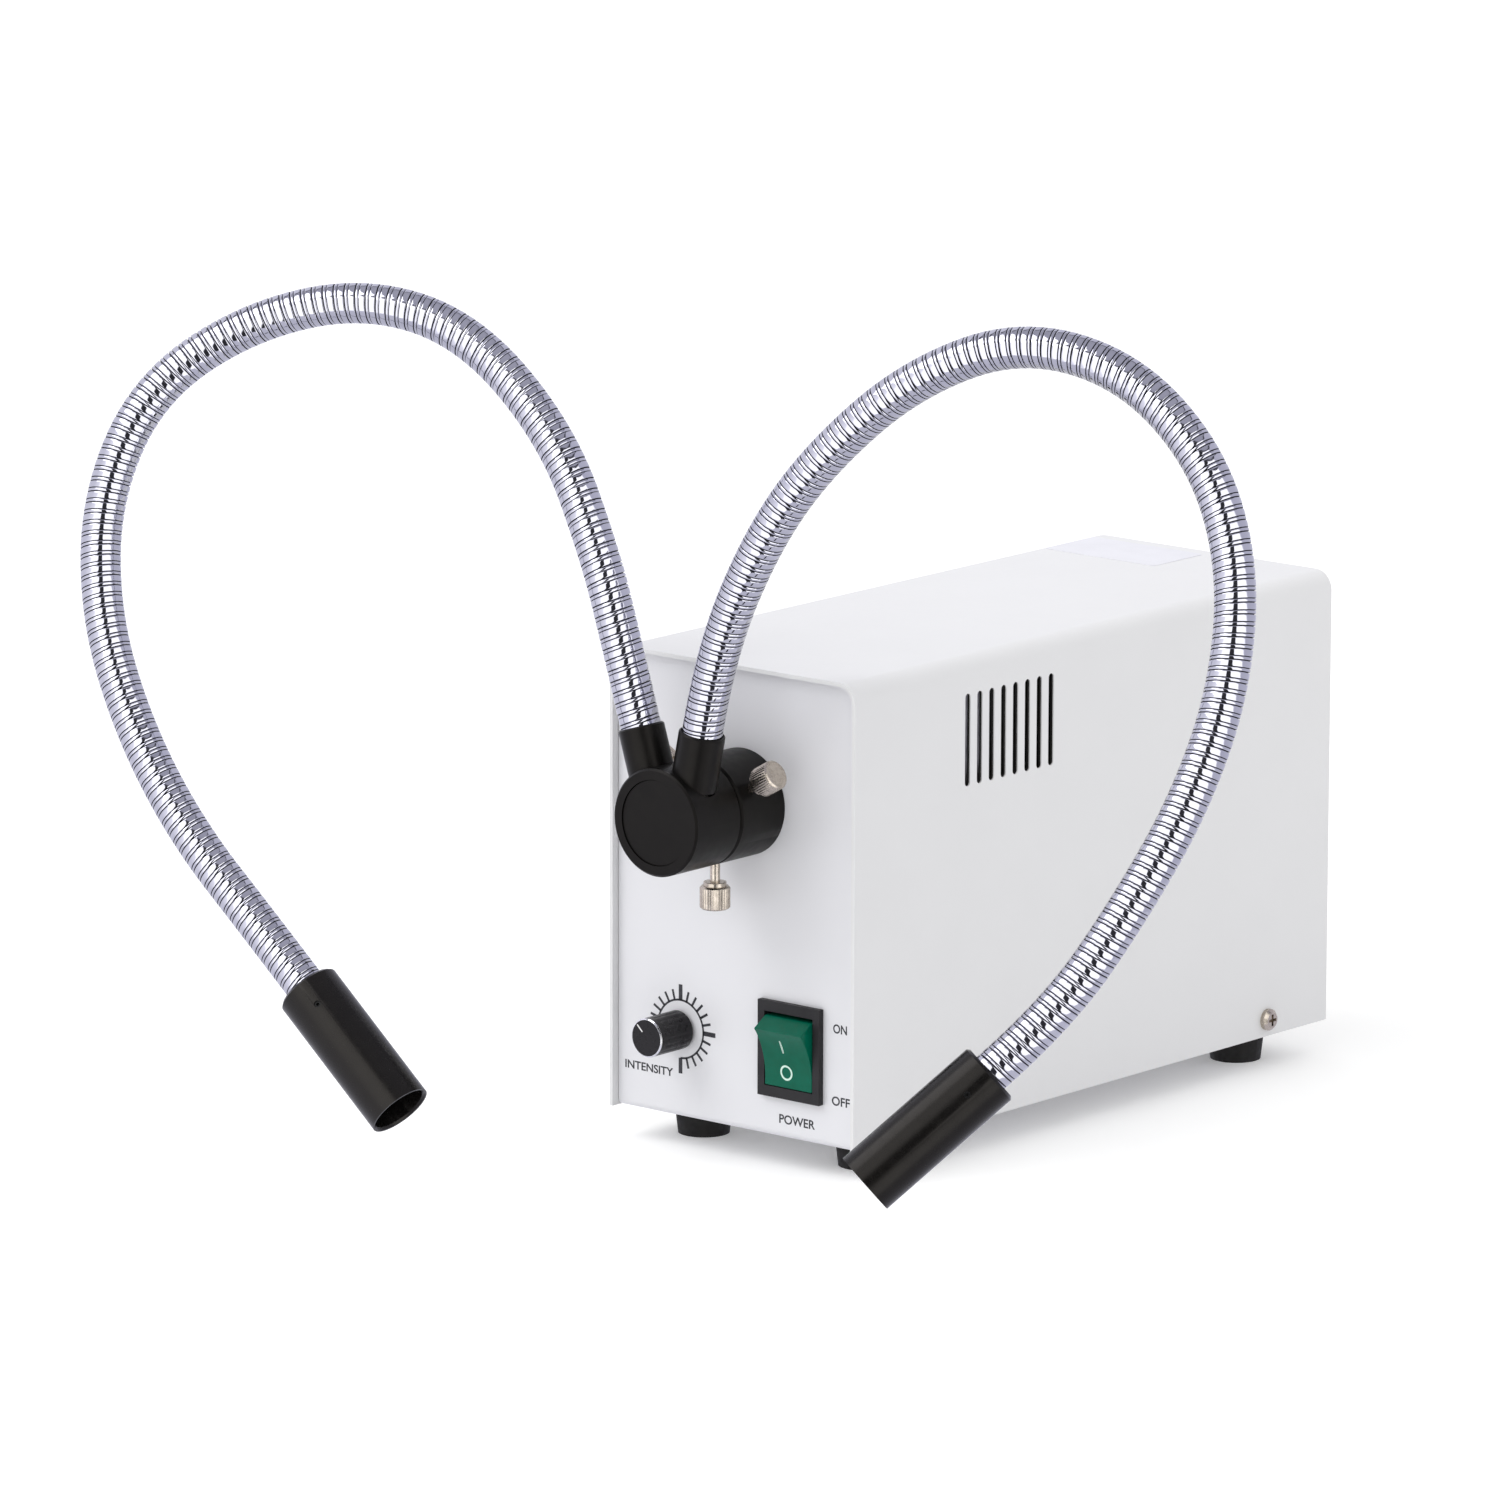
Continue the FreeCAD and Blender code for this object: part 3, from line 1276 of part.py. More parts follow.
def makeFan():
    front = rearInner - s.fanDepth
    half = s.fanSide / 2
    block = box("FanBlock", (s.fanX - half, s.fanX + half), (front, rearInner), (fanZ - half, fanZ + half))
    duct = rod("FanDuct", s.fanBore, s.fanX, rearInner, fanZ, s.fanDepth, forward)
    holes = [rod("FanHole" + str(i), s.fanHoleRadius, x, rearInner, z, s.fanDepth, forward)
             for i, (x, z) in enumerate(fanCorners)]
    shell = cut("FanShell", block, [duct] + holes)
    motor = rod("FanMotor", s.fanMotorRadius, s.fanX, rearInner, fanZ, s.fanMotorDepth, forward)
    fanPinLength = s.fanDepth - s.rotorRim - s.rotorGap
    pin = rod("FanPin", s.fanPinRadius, s.fanX, rearInner, fanZ, fanPinLength, forward)
    reach = s.fanBore + s.rotorRim
    w = s.fanStrutWidth / 2
    rear = (rearInner - s.fanMotorDepth, rearInner)
    struts = [
        box("FanStrutX", (s.fanX - reach, s.fanX + reach), rear, (fanZ - w, fanZ + w)),
        box("FanStrutZ", (s.fanX - w, s.fanX + w), rear, (fanZ - reach, fanZ + reach)),
    ]
    keep(joined("FanFrame", [shell, motor, pin] + struts), "fan_frame")

    # Rotor: a cup that runs on the fixed pin, with twisted blades.
    cupLow = s.fanMotorDepth + s.rotorGap
    cupHigh = s.fanDepth
    inner = s.rotorRadius - s.rotorRim
    bearing = s.fanPinRadius + s.threadGap
    cup = turned(
        "RotorCup", (bearing, cupLow), (s.rotorRadius, cupLow), (s.rotorRadius, cupHigh), (0, cupHigh),
        (0, cupHigh - s.rotorRim), (bearing, cupHigh - s.rotorRim),
    )
    place(cup, s.fanX, rearInner, fanZ, forward)
    middle = (rearInner - (cupLow + cupHigh) / 2).value
    reach = (s.fanBore - s.bladeTipGap).value
    chord = s.bladeChord.value
    thick = s.bladeThickness.value
    depth = (cupHigh - cupLow).value
    centre = Vector(s.fanX.value, middle, fanZ.value)
    blade = Part.makeBox(thick, chord, reach - inner.value, Vector(-thick / 2, -chord / 2, inner.value))
    blade.rotate(Vector(0, 0, 0), Vector(0, 0, 1), s.bladeAngle.value)
    sweep = Part.makeCylinder(reach, depth, Vector(0, -depth / 2, 0), Vector(0, 1, 0))
    blade = blade.common(sweep)
    blades = []
    for i in range(int(s.bladeCount.value)):
        copy = blade.copy()
        copy.rotate(Vector(0, 0, 0), Vector(0, 1, 0), 360 * i / s.bladeCount.value)
        copy.translate(centre)
        leaf = doc.addObject("Part::Feature", "Blade" + str(i))
        leaf.Shape = copy
        blades.append(leaf)
    keep(joined("Rotor", [cup] + blades), "fan_rotor")

    # Wire guard outside, held by the fan's screws.
    wire = s.guardWireRadius
    guardY = rearFace + wire
    parts = []
    for i in range(int(s.guardRingCount.value)):
        ring = doc.addObject("Part::Torus", "GuardRing" + str(i))
        radius = s.guardRingPitch * (i + 1)
        ring.Radius1 = radius.value
        ring.setExpression("Radius1", radius.text)
        ring.Radius2 = wire.value
        ring.setExpression("Radius2", wire.text)
        parts.append(place(ring, s.fanX, guardY, fanZ, forward))
    reach = s.fanHolePitch / 2 * math.sqrt(2)
    guardAngles = (45, -45)
    for i, angle in enumerate(guardAngles):
        turn = Rotation(Vector(0, 1, 0), angle)
        leg = doc.addObject("Part::Cylinder", "GuardLeg" + str(i))
        leg.Radius = wire.value
        leg.setExpression("Radius", wire.text)
        length = (reach - s.panHeadRadius) * 2
        leg.Height = length.value
        leg.setExpression("Height", length.text)
        half = length / 2
        place(leg, s.fanX - half * sine(angle), guardY, fanZ - half * cosine(angle), turn)
        parts.append(leg)
    for i, (x, z) in enumerate(fanCorners):
        eye = turnedSleeve("GuardEye" + str(i), s.screwRadius + s.screwGap, s.panHeadRadius + wire,
                           asSize(0), wire * 2)
        parts.append(place(eye, x, rearFace, z, backward))
    keep(joined("Guard", parts), "fan_guard")
    screws = []
    for i, (x, z) in enumerate(fanCorners):
        screws.append(panScrew("FanScrew" + str(i), s.fanScrewLength + wire * 2, x,
                               rearFace + wire * 2, z, backward))
        screws.append(hexNut("FanNut" + str(i), x, front, z, forward))
    keep(group("FanScrews", screws), "fan_screws")


# Power supply board.
def makeBoard():
    halfX = boardWidth / 2
    halfY = s.boardLength / 2
    blank = box("BoardBlank", (-halfX, halfX), (boardCentreY - halfY, boardCentreY + halfY),
                (boardBottom, boardTop))
    holes = [rod("BoardHole" + str(i), s.screwRadius + s.screwGap, x, y, boardBottom, s.boardThickness)
             for i, (x, y) in enumerate(boardCorners)]
    keep(cut("Board", blank, holes), "power_board")
    standoffs = []
    screws = []
    for i, (x, y) in enumerate(boardCorners):
        post = hexagon("Post" + str(i), s.standoffCircumradius, x, y, floorTop, s.standoffHeight)
        bore = rod("PostBore" + str(i), s.screwRadius + s.threadGap, x, y, floorTop, s.standoffHeight)
        standoffs.append(cut("Standoff" + str(i), post, [bore]))
        screws.append(panScrew("BoardScrew" + str(i), s.boardScrewLength, x, y, boardTop, upright))
        down = Rotation(Vector(1, 0, 0), 180)
        screws.append(panScrew("FloorScrew" + str(i), s.boardScrewLength, x, y, bottomZ, down))
    keep(group("Standoffs", standoffs), "board_standoffs")
    keep(group("BoardScrews", screws), "board_screws")

    halfX = s.transformerWidth / 2
    halfY = s.transformerLength / 2
    inset = s.transformerCoilInset
    coreLow = boardTop + (s.transformerHeight - s.transformerCoreHeight) / 2
    coil = box("Coil", (transformerX - halfX + inset, transformerX + halfX - inset),
               (transformerY - halfY, transformerY + halfY), (boardTop, boardTop + s.transformerHeight))
    core = box("Core", (transformerX - halfX, transformerX + halfX),
               (transformerY - halfY + inset, transformerY + halfY - inset),
               (coreLow, coreLow + s.transformerCoreHeight))
    keep(joined("Transformer", [coil, core]), "board_transformer")
    cans = []
    c = s.capacitorChamfer
    for i in range(2):
        can = turned("Can" + str(i), (0, 0), (s.capacitorRadius, 0),
                     (s.capacitorRadius, s.capacitorHeight - c),
                     (s.capacitorRadius - c, s.capacitorHeight), (0, s.capacitorHeight))
        cans.append(place(can, capacitorX, capacitorY + i * s.capacitorPitch, boardTop))
    keep(group("Cans", cans), "board_capacitors")
    fuseZ = boardTop + s.fuseRise
    radius = s.fuseRadius
    start = fuseX - s.fuseLength / 2
    sideways = Rotation(Vector(0, 1, 0), 90)
    glass = rod("FuseGlass", radius - s.screwGap, start, fuseY, fuseZ, s.fuseLength, sideways)
    caps = [glass]
    for i, x in enumerate((start, start + s.fuseLength - s.fuseCapLength)):
        caps.append(rod("FuseCap" + str(i), radius, x, fuseY, fuseZ, s.fuseCapLength, sideways))
        caps.append(box("FuseClip" + str(i), (x, x + s.fuseCapLength),
                        (fuseY - radius - s.screwGap, fuseY + radius + s.screwGap), (boardTop, fuseZ)))
    keep(joined("Fuse", caps), "board_fuse")
    blocks = []
    for i, side in enumerate((-1, 1)):
        y = boardCentreY + side * (s.boardLength / 2 - s.terminalLength)
        half = s.terminalWidth / 2
        depth = s.terminalLength / 2
        block = box("TerminalBlock" + str(i), (-half, half), (y - depth, y + depth),
                    (boardTop, boardTop + s.terminalHeight))
        turn = forward if side < 0 else backward
        bores = []
        for j, share in enumerate((-terminalShare, terminalShare)):
            bores.append(rod("TerminalBore" + str(i) + str(j), s.terminalHoleRadius, s.terminalWidth * share,
                             y + side * (depth - s.terminalHoleDepth), boardTop + s.terminalHeight / 2,
                             s.terminalHoleDepth, turn))
        blocks.append(cut("Terminal" + str(i), block, bores))
    keep(group("Terminals", blocks), "board_terminals")


# Mains inlet on the rear panel.
def makeInlet():
    flangeFace = rearFace + s.inletFlangeThickness
    body = newBody("Inlet")
    halfX = s.inletFlangeWidth / 2
    halfZ = s.inletFlangeHeight / 2
    c = s.inletFlangeCorner
    pad(body, "XZ_Plane", [outline(
        (inletX - halfX, inletZ - halfZ + c), (inletX - halfX + c, inletZ - halfZ),
        (inletX + halfX - c, inletZ - halfZ), (inletX + halfX, inletZ - halfZ + c),
        (inletX + halfX, inletZ + halfZ - c), (inletX + halfX - c, inletZ + halfZ),
        (inletX - halfX + c, inletZ + halfZ), (inletX - halfX, inletZ + halfZ - c),
    )], s.inletFlangeThickness, offset=-flangeFace)
    pad(body, "XZ_Plane", [rectangle(inletX, inletZ, s.inletBodyWidth, s.inletBodyHeight)],
        s.inletBodyDepth, offset=-rearFace)
    w = s.inletCavityWidth / 2
    tall = s.inletCavityHeight / 2
    c = s.inletCavityCorner
    pocket(body, "XZ_Plane", [outline(
        (inletX - w, inletZ - tall), (inletX + w, inletZ - tall), (inletX + w, inletZ + tall - c),
        (inletX + w - c, inletZ + tall), (inletX - w + c, inletZ + tall), (inletX - w, inletZ + tall - c),
    )], s.inletCavityDepth, offset=-flangeFace, back=True)
    clear = s.screwRadius + s.screwGap
    pocket(body, "XZ_Plane", [circle(x, z, clear) for x, z in inletScrewPlaces])
    floorY = flangeFace - s.inletCavityDepth
    rear = rearFace - s.inletBodyDepth
    places = ((asSize(0), s.earthRise), (-s.bladePitch / 2, -s.lineDrop), (s.bladePitch / 2, -s.lineDrop))
    pins = []
    slots = []
    for i, (x, z) in enumerate(places):
        cx = inletX + x
        cz = inletZ + z
        limitsX = (cx - s.bladeHeight / 2, cx + s.bladeHeight / 2)
        limitsZ = (cz - s.bladeWidth / 2, cz + s.bladeWidth / 2)
        limitsY = (rear - s.tagLength, floorY + s.bladeLength)
        pins.append(box("InletPin" + str(i), limitsX, limitsY, limitsZ))
        slots.append(box("InletSlot" + str(i), limitsX, (rear, floorY), limitsZ))
    keep(cut("InletBody", body, slots), "mains_inlet")
    keep(group("InletPins", pins), "inlet_pins")
    screws = []
    for i, (x, z) in enumerate(inletScrewPlaces):
        screws.append(panScrew("InletScrew" + str(i), s.inletScrewLength, x, flangeFace, z, backward))
        screws.append(hexNut("InletNut" + str(i), x, rearInner, z, forward))
    keep(group("InletScrews", screws), "inlet_screws")


# Leads between the electrical pieces: each route starts and ends on a face of what it joins.
def makeLead(label, points):
    wire = routeWire([asVector(point) for point in points])
    lead = doc.addObject("Part::Feature", label)
    lead.Shape = tubeAlong(wire, s.leadRadius.value, label)
    lead.Placement = Placement()
    return lead


def makeLeads():
    bend = s.leadBend
    lowZ = boardTop + s.terminalHeight
    highZ = boardTop + s.capacitorHeight
    switchRear = panelFace + s.switchBodyDepth + s.tagLength
    inletRear = rearFace - s.inletBodyDepth - s.tagLength
    tagZ = controlZ - s.tagSpacingZ / 2
    tagX = switchX + s.tagSpacingX / 2
    lineX = inletX + s.bladePitch / 2
    lineZ = inletZ - s.lineDrop
    wallX = chassisHalf - s.chassisSheet - s.leadRadius * 3
    mains = makeLead("MainsLead", (
        (tagX, switchRear, tagZ), (tagX, switchRear + bend, tagZ), (wallX, switchRear + bend * 4, tagZ),
        (wallX, switchRear + bend * 10, tagZ + bend), (wallX, inletRear - bend * 9, highZ + bend / 2),
        (wallX, inletRear - bend * 4, highZ), (lineX, inletRear - bend, lineZ), (lineX, inletRear, lineZ),
    ))
    keep(mains, "mains_lead")

    terminalY = boardCentreY - s.boardLength / 2 + s.terminalLength / 2 + s.terminalHoleDepth
    terminalZ = boardTop + s.terminalHeight / 2
    terminalX = s.terminalWidth * terminalShare
    ledY = sinkFace - s.leadRadius - s.leadGap
    besideX = s.bracketWidth / 2 + bend
    webY = sinkFace + s.bracketWebPlace
    led = makeLead("LedLead", (
        (s.portX, ledY, portZ - s.ledBoardSide / 2), (s.portX, ledY, portZ - s.barrelRadius - bend),
        (s.portX + bend * 2, ledY - bend, portZ - s.barrelRadius - bend * 4),
        (besideX, webY - bend * 2, lowZ + bend * 3), (besideX, webY + bend, lowZ + bend),
        (besideX - bend * 2, terminalY - bend * 2, lowZ), (terminalX, terminalY - bend, terminalZ),
        (terminalX, terminalY, terminalZ),
    ))
    fanX = s.fanX - s.fanSide / 4
    fanLowZ = fanZ - s.fanSide / 2 + s.leadRadius * 2
    fanFront = rearInner - s.fanDepth
    coilRear = transformerY + s.transformerLength / 2
    fan = makeLead("FanLead", (
        (fanX, fanFront, fanLowZ), (fanX, fanFront - bend, fanLowZ),
        (fanX - bend, fanFront - bend * 3, highZ + bend * 2), (fanX - bend, coilRear + bend * 3, highZ),
        (transformerX, coilRear + bend, terminalZ + bend), (transformerX, coilRear, terminalZ + bend),
    ))
    tagRear = panelInner + s.potDepth / 2 + s.potTagThickness
    tagLow = controlZ - s.potRadius - s.potTagLength + s.leadRadius
    dimmer = makeLead("DimmerLead", (
        (knobX, tagRear, tagLow), (knobX, tagRear + bend, tagLow),
        (-besideX, tagRear + bend * 4, tagLow + s.leadRadius),
        (-besideX, webY + bend, tagLow + s.leadRadius),
        (bend - besideX, terminalY - bend * 2, terminalZ), (-terminalX, terminalY - bend, terminalZ),
        (-terminalX, terminalY, terminalZ),
    ))
    keep(group("BoardLeads", [led, fan, dimmer]), "board_leads")


leftTilt = s.hubTurn - s.ferruleSplay
rightTilt = s.hubTurn + s.ferruleSplay
ferruleList = (("left", leftTilt, -s.ferruleOffset), ("right", rightTilt, s.ferruleOffset))
sinkFace = panelFace + s.barrelFront + s.barrelLength
bracketY = sinkFace + s.bracketWebPlace + s.bracketSheet + (s.bracketFoot - s.bracketSheet) / 2
bracketPlaces = [(side * s.bracketWidth / 4, bracketY) for side in (-1, 1)]

makeChassis()
makeCover()
makeFeet()
makeCoverScrews()
makePort()
makeClamp("upper", s.clampAngle, s.sideClampReach)
makeClamp("left", -s.clampAngle, s.sideClampReach)
makeClamp("lower", s.clampAngle * 3, s.lowerClampReach)
makeGuide()
for label, angle, offset in ferruleList:
    makeFerrule(label, angle, offset)
makeGuideFibres()
leftEnd, leftAim = makeArm("left", leftTilt, -s.ferruleOffset, leftArmShares, leftEndShare, leftTipShare)
rightEnd, rightAim = makeArm(
    "right", rightTilt, s.ferruleOffset, rightArmShares, rightEndShare, rightTipShare)
makeTip("left", leftEnd, leftAim)
makeTip("right", rightEnd, rightAim)
makeKnob()
makePotentiometer()
makeSwitch()
makeOptics()
makeHeatSink()
makeFan()
makeBoard()
makeInlet()
makeLeads()
doc.recompute()

failed = [item.Label for item in doc.Objects if "Invalid" in item.State or "Error" in item.State]
for piece in pieces:
    if piece.Shape.isNull() or not piece.Shape.isValid() or not piece.Shape.Solids:
        failed.append(piece.Label)
if failed:
    raise RuntimeError("Failed: " + ", ".join(sorted(set(failed))))

os.makedirs("parts", exist_ok=True)
for piece in pieces:
    piece.Shape.exportStep(os.path.join("parts", piece.Label + ".step"))
print(len(pieces), "sub-parts written")
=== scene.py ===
import json
import math
import bmesh
import bpy
import numpy as np
from mathutils import Matrix, Vector

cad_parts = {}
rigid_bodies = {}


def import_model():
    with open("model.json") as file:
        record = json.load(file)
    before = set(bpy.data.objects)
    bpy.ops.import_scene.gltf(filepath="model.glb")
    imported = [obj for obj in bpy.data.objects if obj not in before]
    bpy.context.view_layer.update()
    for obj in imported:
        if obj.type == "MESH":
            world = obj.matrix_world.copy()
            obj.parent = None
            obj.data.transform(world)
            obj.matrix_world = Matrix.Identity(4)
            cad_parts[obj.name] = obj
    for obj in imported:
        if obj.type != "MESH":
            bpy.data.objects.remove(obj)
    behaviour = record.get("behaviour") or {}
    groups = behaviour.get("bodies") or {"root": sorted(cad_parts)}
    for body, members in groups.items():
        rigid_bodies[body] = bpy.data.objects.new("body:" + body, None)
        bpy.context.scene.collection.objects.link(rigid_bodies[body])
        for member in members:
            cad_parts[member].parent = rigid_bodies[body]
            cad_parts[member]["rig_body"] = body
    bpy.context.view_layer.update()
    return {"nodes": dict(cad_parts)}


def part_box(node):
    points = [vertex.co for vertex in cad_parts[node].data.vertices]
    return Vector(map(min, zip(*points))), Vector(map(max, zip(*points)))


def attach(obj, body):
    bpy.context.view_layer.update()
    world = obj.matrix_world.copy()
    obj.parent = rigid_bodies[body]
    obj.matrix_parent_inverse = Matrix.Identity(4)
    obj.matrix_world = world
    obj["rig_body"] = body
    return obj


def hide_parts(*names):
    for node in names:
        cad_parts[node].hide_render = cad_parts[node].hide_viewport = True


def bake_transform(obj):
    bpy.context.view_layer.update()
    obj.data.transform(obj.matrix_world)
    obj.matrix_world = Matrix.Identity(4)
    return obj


# A bench light source with two goosenecks, in metres. Settings are in millimetres, degrees and sRGB hex.
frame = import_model()
nodes = frame["nodes"]
bodyOf = {name: node["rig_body"] for name, node in nodes.items()}
mm = 0.001


def box(node):
    low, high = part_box(node)
    return np.array(low) / mm, np.array(high) / mm


def middle(node):
    low, high = box(node)
    return (low + high) / 2


# Places taken from the frame.
portX, portZ = middle("port_collar")[0], middle("port_collar")[2]
clampY = middle("lower_thumb_screw_head")[1]
bezelProud = 2.0
panelFace = box("switch_housing")[0][1] + bezelProud
knobX, controlZ = middle("potentiometer_shaft")[0], middle("potentiometer_shaft")[2]
switchX = middle("switch_housing")[0]
coverLow, coverHigh = box("cover")
print("frame loaded:", len(nodes), "nodes")


# Nodes and colours.
def colour(text):
    # sRGB hex to linear: the low part is divided by 12.92, the rest follows the 2.4 power
    values = [int(text[i:i + 2], 16) / 255 for i in (0, 2, 4)]
    return [v / 12.92 if v <= 0.04045 else ((v + 0.055) / 1.055) ** 2.4 for v in values] + [1]


def add(tree, kind, settings=None, links=None):
    node = tree.nodes.new("ShaderNode" + kind)
    for key, value in (settings or {}).items():
        if isinstance(key, int) or key in node.inputs:
            node.inputs[key].default_value = value
        else:
            setattr(node, key, value)
    for key, source in (links or {}).items():
        tree.links.new(source, node.inputs[key])
    return node


def newMaterial(name, hexColour, **sockets):
    material = bpy.data.materials.new(name)
    material.use_nodes = True
    tree = material.node_tree
    tree.nodes.clear()
    named = {key.replace("_", " "): value for key, value in sockets.items()}
    shader = add(tree, "BsdfPrincipled", {"Base Color": colour(hexColour), **named})
    add(tree, "OutputMaterial", links={"Surface": shader.outputs[0]})
    return material, tree, shader


def objectPlace(tree):
    return add(tree, "TexCoord").outputs["Object"]


def noise(tree, size, place=None, detail=2.0):
    # size is the width of one blotch or grain, in millimetres
    source = place or objectPlace(tree)
    settings = {"Scale": 1 / (size * mm), "Detail": detail}
    return add(tree, "TexNoise", settings, {"Vector": source}).outputs["Fac"]


def bumped(tree, shader, height, depth):
    # depth is how far the relief reaches, in millimetres
    chain = shader.inputs["Normal"].links
    links = {"Height": height}
    if chain:
        links["Normal"] = chain[0].from_socket
    bump = add(tree, "Bump", {"Distance": depth * mm}, links)
    tree.links.new(bump.outputs["Normal"], shader.inputs["Normal"])


def mixed(tree, shader, factor, first, second, socket="Base Color"):
    blend = add(tree, "Mix", {"data_type": "RGBA", 6: colour(first), 7: colour(second)}, {0: factor})
    tree.links.new(blend.outputs[2], shader.inputs[socket])
    return blend


def ranged(tree, source, low, high, start=0.35, end=0.65):
    settings = {"From Min": start, "From Max": end, "To Min": low, "To Max": high}
    return add(tree, "MapRange", settings, {"Value": source}).outputs["Result"]


def roughened(tree, shader, size, low, high):
    tree.links.new(ranged(tree, noise(tree, size), low, high), shader.inputs["Roughness"])


def alongAxis(tree, axis):
    # the distance along an axis, as one coordinate, so that a pattern on it rings the piece
    settings = {"operation": "DOT_PRODUCT", 1: tuple(axis)}
    dot = add(tree, "VectorMath", settings, {0: objectPlace(tree)})
    return add(tree, "CombineXYZ", links={"X": dot.outputs["Value"]}).outputs["Vector"]


def textured(made, tones, blotch, grain, relief, wear, sheen, axis=None, detail=2.0):
    # two close tones in blotches, a fine relief and an uneven sheen, their sizes in millimetres;
    # with an axis, the relief runs in rings round it
    material, tree, shader = made
    mixed(tree, shader, ranged(tree, noise(tree, blotch), 0, 1), *tones)
    place = None if axis is None else alongAxis(tree, axis)
    bumped(tree, shader, noise(tree, grain, place, detail), relief)
    roughened(tree, shader, wear, *sheen)
    return material


# Materials, each named for the real one; two of them also carry painted shade, as marked below.
finishes = {
    "coverWhite": ("E4E4E5", "E3E3E4"),
    # painted shade: the cover's inside is painted dark from this far in from its sides, ends and top
    "coverInsideShade": "2E2C2B",
    "insideDepth": 0.4,
    "endDepth": 8.0,
    "topDepth": 7.5,
    "panelWhite": ("E5E5E9", "E4E4E8"),
    "paintGrain": 0.9,
    "anodised": ("0B0A0A", "0F0E0D"),
    "chrome": ("C4C4CD", "BEBEC8"),
    "nickel": ("C4BAAE", "B6ACA0"),
    "ink": "1C1C22",
    "rockerGreen": ("005C46", "00624C"),
}


def powderCoat():
    # powder-coated steel: an even, satin white with a fine orange peel that softens reflections
    first, second = finishes["coverWhite"]
    material, tree, shader = newMaterial("powder_coated_steel", first, Roughness=0.42)
    blend = mixed(tree, shader, ranged(tree, noise(tree, 24.0), 0, 1), first, second)
    # painted shade: the inside of the cover and the vents' edges are painted dark, for the shade that falls
    # inside it
    half, centre = (coverHigh - coverLow) / 2, (coverHigh + coverLow) / 2
    settings = {"operation": "SUBTRACT", 1: tuple(centre * mm)}
    offset = add(tree, "VectorMath", settings, {0: objectPlace(tree)}).outputs[0]
    size = add(tree, "VectorMath", {"operation": "ABSOLUTE"}, {0: offset}).outputs[0]
    level, upwards = (add(tree, "SeparateXYZ", links={0: source}).outputs for source in (size, offset))
    limits = [(level["X"], half[0] - finishes["insideDepth"]), (level["Y"], half[1] - finishes["endDepth"]),
              (upwards["Z"], half[2] - finishes["topDepth"])]
    within = [add(tree, "Math", {"operation": "LESS_THAN", 1: limit * mm}, {0: value}).outputs[0]
              for value, limit in limits]
    inside = within[0]
    for part in within[1:]:
        inside = add(tree, "Math", {"operation": "MULTIPLY"}, {0: inside, 1: part}).outputs[0]
    # painted shade: the dark inside colour is mixed in wherever the mask is one
    insideShade = add(tree, "Mix", {"data_type": "RGBA", 7: colour(finishes["coverInsideShade"])},
                 {0: inside, 6: blend.outputs[2]})
    tree.links.new(insideShade.outputs[2], shader.inputs["Base Color"])
    bumped(tree, shader, noise(tree, finishes["paintGrain"], detail=3.0), 0.002)
    roughened(tree, shader, 1.8, 0.4, 0.44)
    return material


def panelPaint():
    # the same paint under a clear polycarbonate overlay: smoother and cooler than the cover
    tones = finishes["panelWhite"]
    made = newMaterial("painted_front_panel", tones[0], Roughness=0.3)
    return textured(made, tones, blotch=40.0, grain=1.6, relief=0.0008, wear=3.0, sheen=(0.3, 0.33))


def anodised(name, axis, roughness=0.36, shine=0.17):
    # black-dyed anodised aluminium: turned first, so fine rings run round it and its sheen is warm
    tones = finishes["anodised"]
    made = newMaterial(name, tones[0], Roughness=roughness, IOR=1.5, Specular_IOR_Level=shine,
                       Specular_Tint=colour("F6EFE9"))
    return textured(made, tones, blotch=6.0, grain=0.22, relief=0.0008, wear=2.5,
                    sheen=(roughness - 0.03, roughness + 0.03), axis=axis, detail=3.0)


def chromedSteel():
    # chromed wound steel strip: a cool mirror, with the faint unevenness of drawn strip
    tones = finishes["chrome"]
    made = newMaterial("chromed_steel", tones[0], Metallic=1.0, Roughness=0.07)
    return textured(made, tones, blotch=7.0, grain=2.4, relief=0.0012, wear=1.5,
                    sheen=(0.05, 0.09), detail=0.0)


def paintedJointShade():
    # painted shade in the folded seam between two windings: matt and almost black, for the shade that falls
    # in the recess
    made = newMaterial("painted_seam_shade", "2C2C33", Metallic=0.6, Roughness=0.6)
    return textured(made, ("292930", "35353D"), blotch=1.0, grain=0.4, relief=0.003, wear=1.0,
                    sheen=(0.52, 0.68))


def nickelPlate(name="nickel_plated_brass", roughness=0.26):
    # nickel plate over turned brass: warmer than chrome, satin, a little cloudy
    tones = finishes["nickel"]
    made = newMaterial(name, tones[0], Metallic=1.0, Roughness=roughness)
    return textured(made, tones, blotch=1.2, grain=0.6, relief=0.0012, wear=1.2,
                    sheen=(roughness - 0.03, roughness + 0.03))


def zincScrew():
    # zinc-plated steel fastener: bluish grey, with cloudy passivation
    made = newMaterial("zinc_plated_screw", "C4C5C8", Metallic=1.0, Roughness=0.3)
    return textured(made, ("C8C9CC", "ABACB0"), blotch=0.8, grain=0.2, relief=0.003, wear=0.5,
                    sheen=(0.22, 0.38))


def galvanised():
    # zinc-coated sheet and drawn steel wire: grey, with large soft spangles
    material, tree, shader = newMaterial("galvanised_steel", "A9ABAE", Metallic=1.0, Roughness=0.4)
    cells = add(tree, "TexVoronoi", {"Scale": 1 / (5.0 * mm)}, {"Vector": objectPlace(tree)})
    mixed(tree, shader, ranged(tree, cells.outputs["Distance"], 0, 1, 0, 1), "B4B6B9", "9A9CA0")
    bumped(tree, shader, noise(tree, 0.4), 0.004)
    roughened(tree, shader, 3.0, 0.32, 0.48)
    return material


